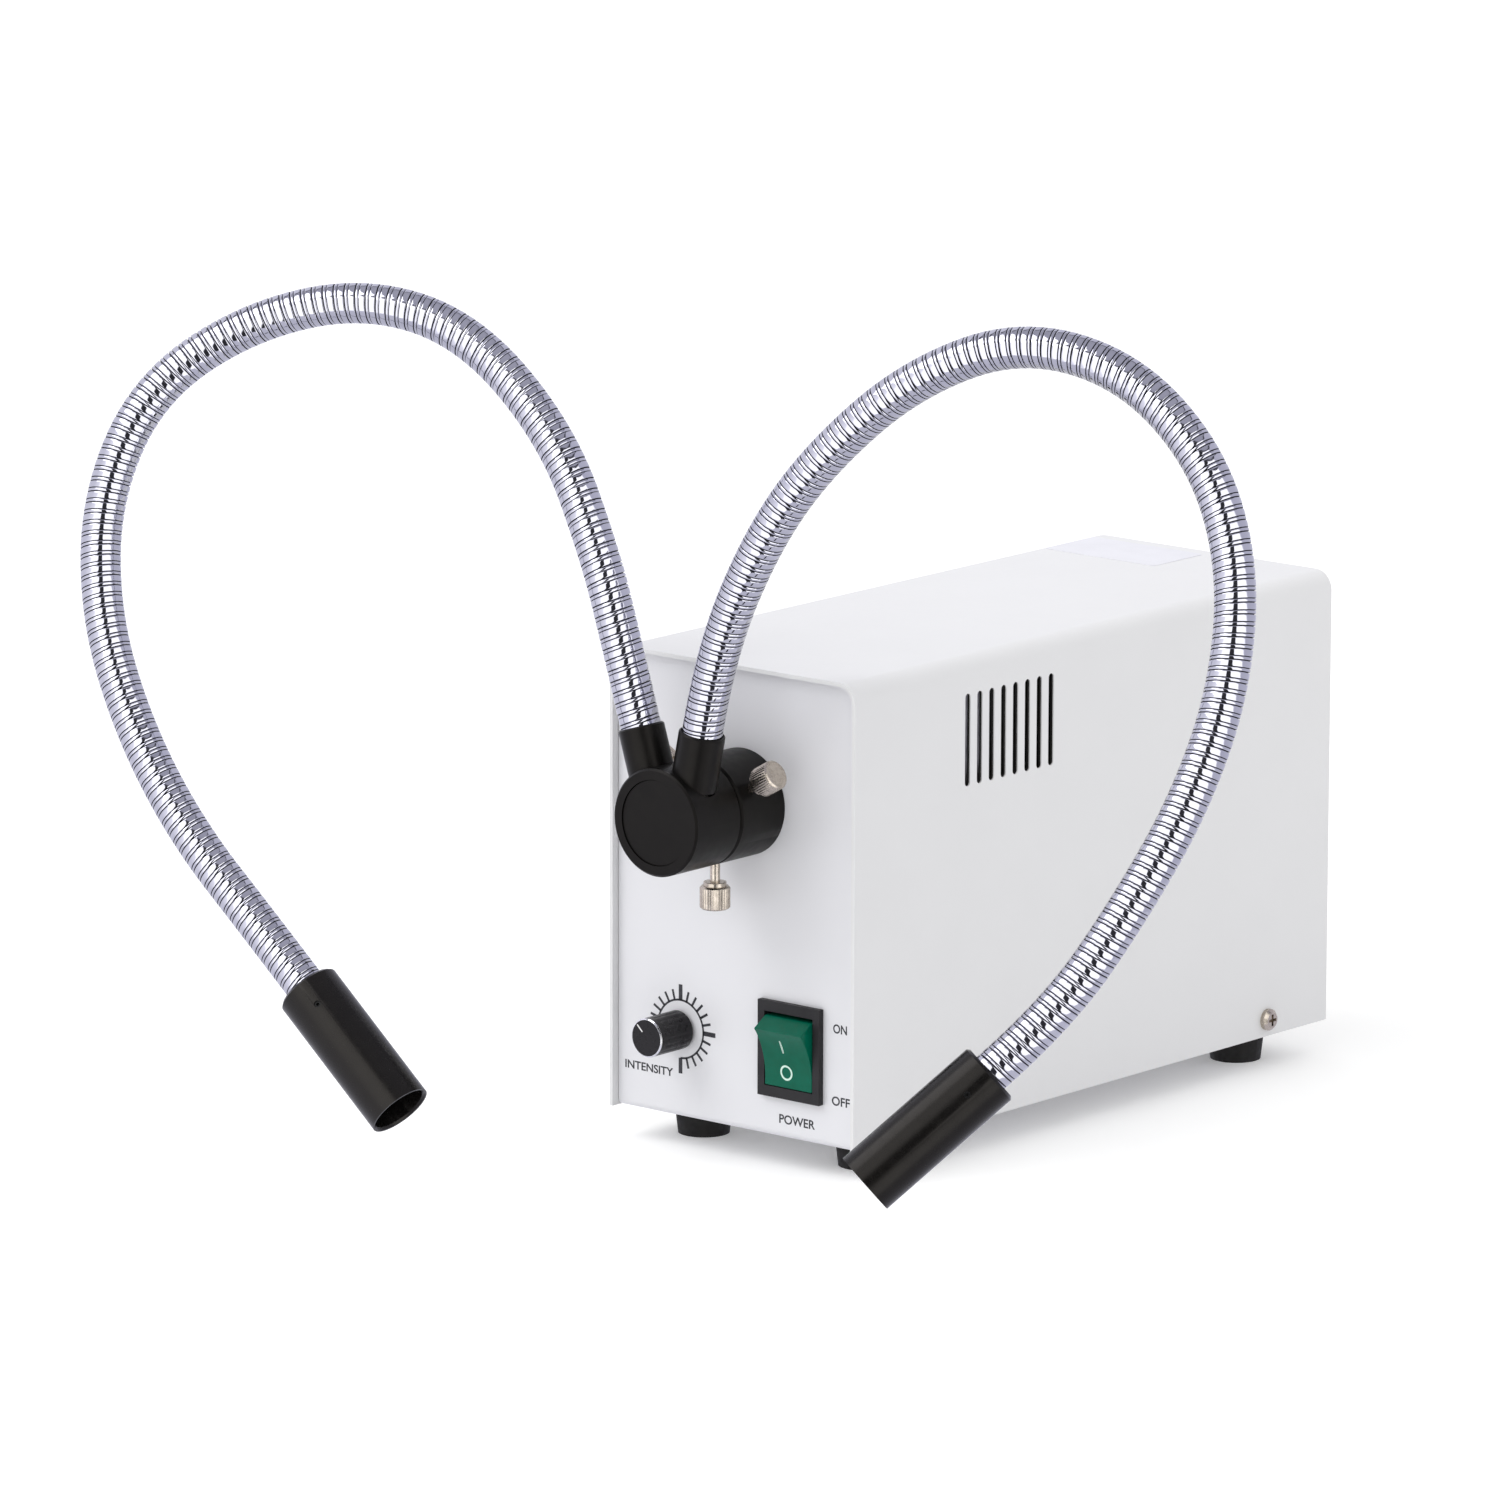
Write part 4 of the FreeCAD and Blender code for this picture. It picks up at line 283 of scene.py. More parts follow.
def extrudedAluminium():
    # extruded aluminium: pale, with straight die lines along the fins
    made = newMaterial("extruded_aluminium", "C9CACC", Metallic=1.0, Roughness=0.34)
    return textured(made, ("CECFD1", "BCBDC0"), blotch=9.0, grain=0.3, relief=0.006, wear=4.0,
                    sheen=(0.28, 0.4), axis=(1, 0, 0))


def mouldedPlastic(name, first, second, roughness=0.45, grain=0.5, depth=0.008):
    # injection-moulded plastic: even colour with the spark-eroded texture of its mould
    made = newMaterial(name, first, Roughness=roughness, IOR=1.52, Specular_IOR_Level=0.2)
    return textured(made, (first, second), blotch=8.0, grain=grain, relief=depth, wear=2.0,
                    sheen=(roughness - 0.06, roughness + 0.06), detail=3.0)


def rockerPlastic():
    # tinted polycarbonate: glossy, with light going a little way into it
    tones = finishes["rockerGreen"]
    made = newMaterial("green_polycarbonate", tones[0], Roughness=0.2, IOR=1.58, Specular_IOR_Level=0.12,
                       Subsurface_Weight=0.06, Subsurface_Radius=(0.0006, 0.003, 0.0022))
    return textured(made, tones, blotch=5.0, grain=1.2, relief=0.003, wear=2.0, sheen=(0.16, 0.25))


def footRubber():
    # moulded rubber: dull black with a dusty bloom
    made = newMaterial("black_rubber", "1B1A1A", Roughness=0.7, IOR=1.5, Specular_IOR_Level=0.2)
    return textured(made, ("1A1919", "252423"), blotch=3.0, grain=0.35, relief=0.02, wear=1.5,
                    sheen=(0.6, 0.8), detail=3.0)


def cableJacket(name, first, second):
    # extruded PVC insulation: slightly waxy, with faint draw lines
    made = newMaterial(name, first, Roughness=0.5, IOR=1.53)
    return textured(made, (first, second), blotch=4.0, grain=0.3, relief=0.006, wear=1.0,
                    sheen=(0.42, 0.58))


def fibreEnds():
    # ground ends of a glass fibre bundle: thousands of bright cells with dark joints between them
    material, tree, shader = newMaterial("fibre_bundle", "C9CCC4", Roughness=0.25, IOR=1.6)
    cells = add(tree, "TexVoronoi", {"Scale": 1 / (0.22 * mm)}, {"Vector": objectPlace(tree)})
    joints = ranged(tree, cells.outputs["Distance"], 0, 1, 0.2, 0.6)
    mixed(tree, shader, joints, "CDD0C8", "5C5F5A")
    bumped(tree, shader, cells.outputs["Distance"], 0.02)
    roughened(tree, shader, 0.6, 0.18, 0.34)
    return material


def opticalGlass():
    # polished borosilicate lens: clear, with a faint bloom of its coating
    material, tree, shader = newMaterial(
        "optical_glass", "F4F8FA", Roughness=0.03, IOR=1.47, Transmission_Weight=1.0,
    )
    shader.inputs["Coat Weight"].default_value = 0.3
    shader.inputs["Coat Tint"].default_value = colour("D9E2FF")
    mixed(tree, shader, noise(tree, 6.0), "F4F8FA", "EEF4F8")
    bumped(tree, shader, noise(tree, 3.0), 0.001)
    return material


def circuitBoard():
    # glass-epoxy board under green solder mask, with copper tracks showing through it
    material, tree, shader = newMaterial("circuit_board", "1E5B36", Roughness=0.3, IOR=1.55)
    settings = {"Scale": 1 / (16.0 * mm), "Mortar Size": 0.035}
    tracks = add(tree, "TexBrick", settings, {"Vector": objectPlace(tree)})
    mixed(tree, shader, tracks.outputs["Fac"], "1E5B36", "2F7A4A")
    bumped(tree, shader, tracks.outputs["Fac"], 0.03)
    roughened(tree, shader, 2.0, 0.24, 0.38)
    return material


def ledPhosphor():
    # phosphor over the LED dies: matt yellow
    made = newMaterial("led_phosphor", "E3C545", Roughness=0.6)
    return textured(made, ("E6C94C", "D3B138"), blotch=0.8, grain=0.3, relief=0.02, wear=0.8,
                    sheen=(0.5, 0.7))


def printedInk(name, hexColour, other):
    # screen-printed ink: matt, a little uneven
    made = newMaterial(name, hexColour, Roughness=0.55)
    return textured(made, (hexColour, other), blotch=0.7, grain=0.2, relief=0.002, wear=0.5,
                    sheen=(0.48, 0.62))


def labelFilm():
    # metallised polyester label: satin, cooler and brighter than the paint
    made = newMaterial("label_film", "E4E4EA", Roughness=0.28)
    return textured(made, ("E5E5EB", "E2E2E8"), blotch=9.0, grain=12.0, relief=0.0004, wear=9.0,
                    sheen=(0.4, 0.44))


def polishedRim():
    # diamond-cut aluminium edge: a bright mirror line
    made = newMaterial("diamond_cut_rim", "E8E8EA", Metallic=1.0, Roughness=0.12)
    return textured(made, ("ECECEE", "DADADC"), blotch=0.6, grain=0.3, relief=0.002, wear=0.5,
                    sheen=(0.1, 0.2), axis=(0, 1, 0))


# Mesh tools. Points are in millimetres until they go into a mesh.
meshing = {
    "merge": 0.0005,
    "curveMerge": 0.001,
    "nodeMerge": 0.002,
    "flatAngle": 0.5,
    "sharpAngle": 40,
    # rows this close to a turned piece's full radius are knurled or fluted
    "nearRadius": 0.01,
}


def gridFaces(rows, columns, closed=False):
    # quads between neighbouring rows; columns wrap round, and rows too when the grid is closed
    i = np.arange(rows if closed else rows - 1)[:, None]
    j = np.arange(columns)[None, :]
    below, beside = (i + 1) % rows, (j + 1) % columns
    return np.stack([i * columns + j, i * columns + beside, below * columns + beside, below * columns + j],
                    -1).reshape(-1, 4)


def signedVolume(points, faces):
    a, b, c, d = (points[faces[:, k]] for k in range(4))
    return np.einsum("ij,ij->", a, np.cross(b, c) + np.cross(c, d)) / 6


def addPiece(name, points, faces, material, sharp=meshing["sharpAngle"], marked=None, second=None):
    # a closed mesh whose faces point outwards; edges sharper than the angle stay crisp,
    # and the marked faces take the second material
    if signedVolume(points, faces) < 0:
        faces = faces[:, ::-1]
    mesh = bpy.data.meshes.new(name)
    mesh.from_pydata((points * mm).tolist(), [], faces.tolist())
    if second:
        mesh.polygons.foreach_set("material_index", marked.astype(np.int32))
    work = bmesh.new()
    work.from_mesh(mesh)
    bmesh.ops.remove_doubles(work, verts=work.verts, dist=meshing["merge"] * mm)
    bmesh.ops.dissolve_degenerate(work, edges=work.edges, dist=meshing["merge"] * mm)
    work.to_mesh(mesh)
    work.free()
    mesh.shade_smooth()
    mesh.set_sharp_from_angle(angle=math.radians(sharp))
    piece = bpy.data.objects.new(name, mesh)
    bpy.context.scene.collection.objects.link(piece)
    mesh.materials.append(material)
    if second:
        mesh.materials.append(second)
    return piece


def axes(direction, reference):
    along = np.array(direction, float)
    along /= np.linalg.norm(along)
    across = np.array(reference, float) - along * np.dot(reference, along)
    across /= np.linalg.norm(across)
    return along, across, np.cross(along, across)


def turnedPiece(name, base, direction, reference, profile, columns, material, ripple=None):
    # a profile of (radius, height) carried round an axis; ripple scales each radius by row and angle
    along, across, third = axes(direction, reference)
    radius, height = np.array(profile, float).T[:, :, None]
    angle = np.linspace(0, 2 * math.pi, columns, endpoint=False)[None, :]
    reach = radius + (ripple(radius, height, angle) if ripple else 0)
    reach, height, angle = np.broadcast_arrays(reach, height, angle)
    points = (np.array(base) + (reach * np.cos(angle))[..., None] * across
              + (reach * np.sin(angle))[..., None] * third + height[..., None] * along)
    return addPiece(name, points.reshape(-1, 3), gridFaces(len(profile), columns), material)


def flatPiece(name, outline, origin, right, up, out, thickness, material, holes=()):
    # a thin plate: a closed outline in the plane of right and up, with a thickness along out
    curve = bpy.data.curves.new(name, "CURVE")
    curve.dimensions = "2D"
    curve.fill_mode = "BOTH"
    curve.extrude = thickness * mm / 2
    for ring in (outline, *holes):
        spline = curve.splines.new("POLY")
        spline.points.add(len(ring) - 1)
        flat = np.column_stack([np.array(ring) * mm, np.zeros(len(ring)), np.ones(len(ring))])
        spline.points.foreach_set("co", flat.ravel())
        spline.use_cyclic_u = True
    return fromCurve(name, curve, origin, right, up, out, thickness, material)


def fromCurve(name, curve, origin, right, up, out, thickness, material):
    # makes a flat curve a mesh before its place is applied
    holder = bpy.data.objects.new(name + "_curve", curve)
    bpy.context.scene.collection.objects.link(holder)
    bpy.context.view_layer.update()
    made = bpy.data.meshes.new_from_object(holder.evaluated_get(bpy.context.evaluated_depsgraph_get()))
    bpy.data.objects.remove(holder)
    bpy.data.curves.remove(curve)
    turn = Matrix([list(right), list(up), list(out)]).transposed().to_4x4()
    place = Matrix.Translation(Vector(origin) * mm + Vector(out) * thickness * mm / 2) @ turn
    work = bmesh.new()
    work.from_mesh(made)
    bmesh.ops.remove_doubles(work, verts=work.verts, dist=meshing["curveMerge"] * mm)
    bmesh.ops.transform(work, matrix=place, verts=work.verts)
    bmesh.ops.recalc_face_normals(work, faces=work.faces)
    work.to_mesh(made)
    work.free()
    made.name = name
    made.materials.clear()
    made.materials.append(material)
    piece = bpy.data.objects.new(name, made)
    bpy.context.scene.collection.objects.link(piece)
    return piece


def ring(radius, count=64, start=0.0, sweep=360.0):
    angle = np.radians(start + np.linspace(0, sweep, count, endpoint=sweep < 360))
    return np.column_stack([radius * np.cos(angle), radius * np.sin(angle)])


def bar(angle, start, end, width):
    # a strip that points away from the middle, between two radii
    along = np.array([math.cos(math.radians(angle)), math.sin(math.radians(angle))])
    side = np.array([-along[1], along[0]]) * width / 2
    return np.array([along * start - side, along * end - side, along * end + side, along * start + side])


def softened(node, width, segments):
    # a copy of a CAD node, merged, with its sharp edges rounded; it stands for the node
    angle = math.radians(meshing["sharpAngle"])
    flat = math.radians(meshing["flatAngle"])
    mesh = nodes[node].data.copy()
    mesh.name = node + "_rounded"
    work = bmesh.new()
    work.from_mesh(mesh)
    bmesh.ops.remove_doubles(work, verts=work.verts, dist=meshing["nodeMerge"] * mm)
    bmesh.ops.dissolve_limit(work, angle_limit=flat, verts=work.verts, edges=work.edges)
    work.to_mesh(mesh)
    work.free()
    mesh.shade_smooth()
    mesh.set_sharp_from_angle(angle=angle)
    piece = bpy.data.objects.new(node + "_rounded", mesh)
    bpy.context.scene.collection.objects.link(piece)
    bevel = piece.modifiers.new("edges", "BEVEL")
    bevel.width = width * mm
    bevel.segments = segments
    bevel.limit_method = "ANGLE"
    bevel.angle_limit = angle
    bevel.harden_normals = True
    bevel.use_clamp_overlap = True
    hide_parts(node)
    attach(piece, bodyOf[node])
    return piece


def dress(piece, material):
    piece.data.materials.clear()
    piece.data.materials.append(material)


# Goosenecks.
hose = {
    "radius": 6.0,
    "bore": 3.75,
    "pitch": 3.2,
    "columns": 44,
    "boreStep": 4,
    "sharpAngle": 50,
    "sheathRadius": 3.4,
    "sheathColumns": 20,
    "sheathStep": 3,
    "lineSteps": 48,
    "sunk": 3.4,
    "bendLength": 70.0,
    "armSpan": 200.0,
    "firstRun": 25.0,
    "mouthReach": 28.4,
    "mouthDepth": 30.6,
    # one winding: a wide smooth band, a narrow bead, and a joint at each side of it, painted dark as shade
    "profile": (
        (0.0, -0.55), (0.03, -0.5), (0.05, -0.05), (0.08, 0.0), (0.16, 0.01), (0.32, 0.012),
        (0.48, 0.01), (0.56, -0.01), (0.6, -0.05), (0.62, -0.5), (0.655, -0.5), (0.675, -0.12),
        (0.72, -0.03), (0.79, 0.0), (0.87, -0.03), (0.93, -0.12), (0.955, -0.5),
    ),
    # the rows of the profile after which a face lies in a joint and takes the painted shade
    "jointRows": (0, 1, 8, 9, 10, 15, 16),
    "left": {
        "angle": -17.5, "offset": -4.8,
        "points": (
            (-0.080, 0.003, 0.240), (-0.180, 0.022, 0.405), (-0.340, 0.008, 0.545),
            (-0.495, -0.052, 0.585), (-0.645, -0.142, 0.540), (-0.750, -0.242, 0.440),
            (-0.775, -0.318, 0.285), (-0.730, -0.368, 0.120), (-0.640, -0.392, -0.035),
            (-0.525, -0.402, -0.170),
        ),
        "end": (-0.305, -0.388, -0.370), "aim": (0.752, 0.015, -0.659),
    },
    "right": {
        "angle": 11.5, "offset": 4.8,
        "points": (
            (0.102, 0.012, 0.295), (0.187, 0.038, 0.420), (0.317, 0.082, 0.545),
            (0.472, 0.138, 0.615), (0.637, 0.178, 0.585), (0.772, 0.188, 0.475),
            (0.847, 0.168, 0.330), (0.872, 0.118, 0.165), (0.867, 0.038, 0.015),
            (0.832, -0.048, -0.125),
        ),
        "end": (0.712, -0.212, -0.355), "aim": (-0.483, -0.589, -0.648),
    },
}


def ferruleMouth(side):
    # from the port's axis out along the tilted ferrule, and sideways by its offset
    reach = hose["mouthReach"]
    angle = math.radians(side["angle"])
    shift = side["offset"]
    x = portX + reach * math.sin(angle) + shift * math.cos(angle)
    z = portZ + reach * math.cos(angle) - shift * math.sin(angle)
    return np.array([x, panelFace - hose["mouthDepth"], z]), np.array([math.sin(angle), 0, math.cos(angle)])


def centreLine(name, side):
    # a smooth spline with the route's points as its control points, read back as a polyline
    mouth, upwards = ferruleMouth(side)
    aim = np.array(side["aim"]) / np.linalg.norm(side["aim"])
    end = mouth + np.array(side["end"]) * hose["armSpan"]
    route = [mouth, mouth + upwards * hose["firstRun"]]
    route += [mouth + np.array(point) * hose["armSpan"] for point in side["points"]]
    route += [end - aim * hose["firstRun"], end]
    curve = bpy.data.curves.new(name, "CURVE")
    curve.dimensions = "3D"
    curve.resolution_u = hose["lineSteps"]
    spline = curve.splines.new("NURBS")
    spline.points.add(len(route) - 1)
    spline.points.foreach_set("co", np.column_stack([route, np.ones(len(route))]).ravel())
    spline.order_u = 3
    spline.use_endpoint_u = True
    holder = bpy.data.objects.new(name, curve)
    bpy.context.scene.collection.objects.link(holder)
    bpy.context.view_layer.update()
    line = bpy.data.meshes.new_from_object(holder)
    points = np.empty(len(line.vertices) * 3)
    line.vertices.foreach_get("co", points)
    bpy.data.objects.remove(holder)
    return points.reshape(-1, 3)


def carriedAlong(line, distance, radius, angle):
    # each point lies at a distance along the line, turned by its angle about the line
    step = np.linalg.norm(np.diff(line, axis=0), axis=1)
    reached = np.concatenate([[0], np.cumsum(step)])
    heading = np.gradient(line, reached, axis=0)
    sunk = hose["sunk"]
    line = np.vstack([line[0] - heading[0] * sunk, line, line[-1] + heading[-1] * sunk])
    heading = np.vstack([heading[0], heading, heading[-1]])
    reached = np.concatenate([[-sunk], reached, [reached[-1] + sunk]])
    place = np.stack([np.interp(distance, reached, line[:, k]) for k in range(3)], -1)
    along = np.stack([np.interp(distance, reached, heading[:, k]) for k in range(3)], -1)
    along /= np.linalg.norm(along, axis=-1, keepdims=True)
    depth = np.array([0, 1.0, 0])
    across = depth - along * (along @ depth)[..., None]
    across /= np.linalg.norm(across, axis=-1, keepdims=True)
    third = np.cross(along, across)
    return (place + (radius * np.cos(angle))[..., None] * across
            + (radius * np.sin(angle))[..., None] * third)


def woundHose(name, line, start, end, material):
    # the winding's profile climbs one pitch in each turn, clipped to the span from start to end
    pitch, columns = hose["pitch"], hose["columns"]
    share, rise = np.array(hose["profile"]).T
    steps = len(share)
    first, last = math.floor(start / pitch) - 1, math.ceil(end / pitch) + 1
    turns = np.arange(first, last)[:, None]
    row = ((turns + share[None, :]) * pitch).ravel()
    level = np.tile(rise, last - first)
    lead = np.arange(columns) / columns
    free = row[:, None] + lead[None, :] * pitch
    distance = np.clip(free, start, end)
    phase = ((distance - lead[None, :] * pitch) / pitch) % 1
    cutRise = np.interp(phase, np.append(share, 1), np.append(rise, rise[0]))
    radius = hose["radius"] + np.where(free == distance, level[:, None], cutRise)
    angle = np.broadcast_to(lead[None, :] * 2 * math.pi, distance.shape)
    outer = carriedAlong(line, distance, radius, angle).reshape(-1, 3)
    rows = len(row)
    i, j = np.arange(rows - 1)[:, None], np.arange(columns - 1)[None, :]
    sides = np.stack([i * columns + j, i * columns + j + 1, (i + 1) * columns + j + 1,
                      (i + 1) * columns + j], -1).reshape(-1, 4)
    k = np.arange(rows - 1 - steps)
    seam = np.stack([k * columns + columns - 1, (k + steps) * columns, (k + steps + 1) * columns,
                     (k + 1) * columns + columns - 1], -1)
    inner, innerFaces, near, far = boreTube(line, start, end, columns, len(outer))
    column = np.arange(columns)
    beside = (column + 1) % columns
    top = (rows - 1) * columns
    nearLid = np.stack([column, near + column, near + beside, beside], -1)
    farLid = np.stack([top + column, top + beside, far + beside, far + column], -1)
    faces = np.vstack([sides, seam, innerFaces, nearLid, farLid])
    rowOfFace = np.concatenate([np.repeat(np.arange(rows - 1), columns - 1), k]) % steps
    marked = np.zeros(len(faces), bool)
    marked[:len(rowOfFace)] = np.isin(rowOfFace, hose["jointRows"])
    # faces in the joints take the painted seam shade
    return addPiece(name, np.vstack([outer, inner]), faces, material, hose["sharpAngle"],
                    marked=marked, second=seamShade)


def boreTube(line, start, end, columns, offset):
    # the inner wall, whose faces look inwards
    rows = math.ceil((end - start) / hose["boreStep"]) + 1
    distance = np.repeat(np.linspace(start, end, rows)[:, None], columns, 1)
    angle = np.broadcast_to(np.arange(columns) / columns * 2 * math.pi, distance.shape)
    points = carriedAlong(line, distance, np.full(distance.shape, hose["bore"]), angle)
    faces = gridFaces(rows, columns)[:, ::-1] + offset
    return points.reshape(-1, 3), faces, offset, offset + (rows - 1) * columns


def plainTube(name, line, start, end, material):
    # the fibres' sheath along the line, closed by a fan at each end
    columns, radius = hose["sheathColumns"], hose["sheathRadius"]
    rows = math.ceil((end - start) / hose["sheathStep"]) + 1
    distance = np.linspace(start, end, rows)
    distance = np.concatenate([[start], distance, [end]])
    size = np.concatenate([[0], np.full(rows, radius), [0]])
    distance = np.repeat(distance[:, None], columns, 1)
    angle = np.broadcast_to(np.arange(columns) / columns * 2 * math.pi, distance.shape)
    points = carriedAlong(line, distance, np.repeat(size[:, None], columns, 1), angle)
    return addPiece(name, points.reshape(-1, 3), gridFaces(rows + 2, columns), material)


def makeGooseneck(label, steel, sheath):
    side = hose[label]
    line = centreLine(label + "_line", side)
    length = np.linalg.norm(np.diff(line, axis=0), axis=1).sum()
    half, sunk, bend = length / 2, hose["sunk"], hose["bendLength"]
    spots = carriedAlong(line, np.array([0, bend, length - bend, length]), np.zeros(4), np.zeros(4)) * mm
    lower = [
        woundHose(label + "_hose_lower", line, -sunk, half, steel),
        plainTube(label + "_sheath_lower", line, -sunk, half, sheath),
    ]
    upper = [
        woundHose(label + "_hose_upper", line, half, length + sunk, steel),
        plainTube(label + "_sheath_upper", line, half, length + sunk, sheath),
    ]
    for winding, core in (lower, upper):
        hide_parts(label + "_gooseneck")
        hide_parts(label + "_fibres")
    for piece in lower:
        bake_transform(piece)
    for piece in upper:
        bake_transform(piece)
    print(label, "gooseneck:", round(length, 1), "mm")
    return np.array(side["aim"]) / np.linalg.norm(side["aim"])


chrome = chromedSteel()
# painted shade for the joints between windings
seamShade = paintedJointShade()
sheath = cableJacket("fibre_sheath", "2A2B2D", "35363A")
leftAim = makeGooseneck("left", chrome, sheath)
rightAim = makeGooseneck("right", chrome, sheath)


# Thumb screws.
thumb = {
    "angles": {"upper": 60.0, "left": -60.0, "lower": 180.0},
    "shoulder": (3.4, 1.2),
    "radius": 4.5,
    "length": 6.9,
    "chamfer": 0.55,
    "edge": 0.12,
    "crown": 0.05,
    "bore": (1.55, 5.0),
    "ridges": 40,
    "depth": 0.17,
    "columns": 320,
}


def makeThumbScrews():
    # a turned head whose side is pressed into straight knurling between two chamfers
    material = nickelPlate()
    bore, boreDepth = thumb["bore"]
    neck, neckLength = thumb["shoulder"]
    radius, chamfer, edge = thumb["radius"], thumb["chamfer"], thumb["edge"]
    top = neckLength + thumb["length"]
    profile = [
        (0, boreDepth), (bore, boreDepth), (bore, 0), (neck - edge, 0), (neck, edge),
        (neck, neckLength), (radius - chamfer, neckLength), (radius - edge, neckLength + chamfer - edge),
        (radius, neckLength + chamfer), (radius, top - chamfer), (radius - edge, top - chamfer + edge),
        (radius - chamfer, top - thumb["crown"]), (radius - chamfer - edge, top), (0, top),
    ]

    def knurl(reach, height, angle):
        # a triangle wave round the head, only on the full radius
        wave = np.abs((angle * thumb["ridges"] / (2 * math.pi)) % 1 - 0.5) * 2
        return -thumb["depth"] * wave * (reach > radius - meshing["nearRadius"])

    for label, degrees in thumb["angles"].items():
        angle = math.radians(degrees)
        direction = np.array([math.sin(angle), 0, math.cos(angle)])
        node = label + "_thumb_screw_head"
        low, high = box(node)
        # the head's far face touches one side of its box, which gives its reach from the port's axis
        corner = np.where(direction > 0, high, low) - np.array([portX, clampY, portZ])
        across = radius * np.abs(np.array([math.cos(angle), 0, math.sin(angle)]))
        reach = (np.abs(corner)[2] - across[2]) / abs(direction[2])
        base = np.array([portX, clampY, portZ]) + direction * (reach - top)
        piece = turnedPiece(label + "_thumb_screw", base, direction, (0, 1, 0), profile,
                            thumb["columns"], material, knurl)
        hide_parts(node)
        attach(piece, bodyOf[node])
    print("thumb screws done")
    return material


nickel = makeThumbScrews()


# Intensity knob.
knob = {
    "radius": 5.85,
    "rear": 0.8,
    "front": 15.5,
    "nutRoom": (5.1, 1.9),
    "hollow": (3.8, 5.3),
    "skirt": 1.0,
    "band": 1.5,
    "chamfer": 0.4,
    "flutes": 18,
    "fluteDepth": 0.12,
    "fluteFade": 0.5,
    "rows": 13,
    "columns": 216,
    # the bright edge: its width, its proud part, its sunk part, and the lip that it sits on
    "rim": 0.32,
    "rimProud": 0.03,
    "rimSunk": 0.06,
    "rimTail": 0.04,
    "rimColumns": 96,
    "lip": (0.02, 0.01),
    # the pointer's width and its two radii
    "pointer": (0.42, 2.3, 5.1),
    "pointerAngle": 135.0,
    "pointerThickness": 0.05,
}


def makeKnob(white):
    # turned about the shaft: a smooth band at each end, shallow flutes between, a bright front edge
    material = mouldedPlastic("knob_plastic", "19181A", "1D1B1E", 0.3, 0.8, 0.0015)
    radius, rear, front = knob["radius"], knob["rear"], knob["front"]
    (room, roomTop), (hollow, hollowTop) = knob["nutRoom"], knob["hollow"]
    rim, proud, sunk, chamfer = knob["rim"], knob["rimProud"], knob["rimSunk"], knob["chamfer"]
    lipWidth, lipDrop = knob["lip"]
    skirt, band, face = rear + knob["skirt"], front - knob["band"], front - sunk
    profile = [(0, hollowTop), (hollow, hollowTop), (hollow, roomTop), (room, roomTop), (room, rear),
               (radius - chamfer, rear), (radius, rear + chamfer)]
    profile += [(radius, height) for height in np.linspace(skirt, band, knob["rows"])]
    profile += [(radius, front - rim), (radius - rim, front - lipDrop), (radius - rim - lipWidth, face),
                (0, face)]

    def flutes(reach, height, angle):
        # a raised cosine round the knob, fading in and out at the bands
        wave = (0.5 + 0.5 * np.cos(angle * knob["flutes"])) ** 2
        fade = np.clip(np.minimum(height - skirt, band - height) / knob["fluteFade"], 0, 1)
        return -knob["fluteDepth"] * wave * fade * (reach > radius - meshing["nearRadius"])

    base = (knobX, panelFace, controlZ)
    out, across = (0, -1, 0), (1, 0, 0)
    piece = turnedPiece("knob_body", base, out, across, profile, knob["columns"], material, flutes)
    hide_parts("intensity_knob")
    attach(piece, "knob")
    cut = [(radius - rim - sunk, front - rim), (radius + proud, front - rim - knob["rimTail"]),
           (radius + proud, front - rim), (radius - rim + proud, front + proud),
           (radius - rim - sunk, front + proud), (radius - rim - sunk, front - rim)]
    edge = turnedPiece("knob_rim", base, out, across, cut, knob["rimColumns"], polishedRim())
    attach(edge, "knob")
    width, inner, outer = knob["pointer"]
    strip = bar(knob["pointerAngle"], inner, outer, width)
    origin = (knobX, panelFace - face, controlZ)
    line = flatPiece("knob_pointer", strip, origin, across, (0, 0, 1), out, knob["pointerThickness"], white)
    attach(line, "knob")
    print("knob done")


inkBlack = printedInk("black_ink", finishes["ink"], "34343A")
inkWhite = printedInk("white_ink", "EDEDED", "E2E2E2")
makeKnob(inkWhite)


# Printing on the front panel.
printing = {
    "thickness": 0.05,
    "arcRadius": 8.8,
    "arcWidth": 0.6,
    "arcPoints": 90,
    "arcStart": 180,
    "arcSweep": -269.9,
    "lastTick": -90,
    "boldStep": 90,
    "tickEnd": 12.0,
    "tickWidth": 0.75,
    "boldEnd": 13.5,
    "boldWidth": 1.4,
    "tickStep": 15,
    "letterWeight": 0.016,
    # the word, the middle of its line in X and Z, its width and the height of its capitals
    "words": {
        "intensity_word": ("INTENSITY", -33.7, 23.1, 18.6, 2.55),
        "power_word": ("POWER", 23.45, 15.8, 13.6, 2.75),
        "on_word": ("ON", 39.7, 46.1, 5.2, 2.75),
        "off_word": ("OFF", 40.1, 24.4, 6.8, 2.75),
    },
}


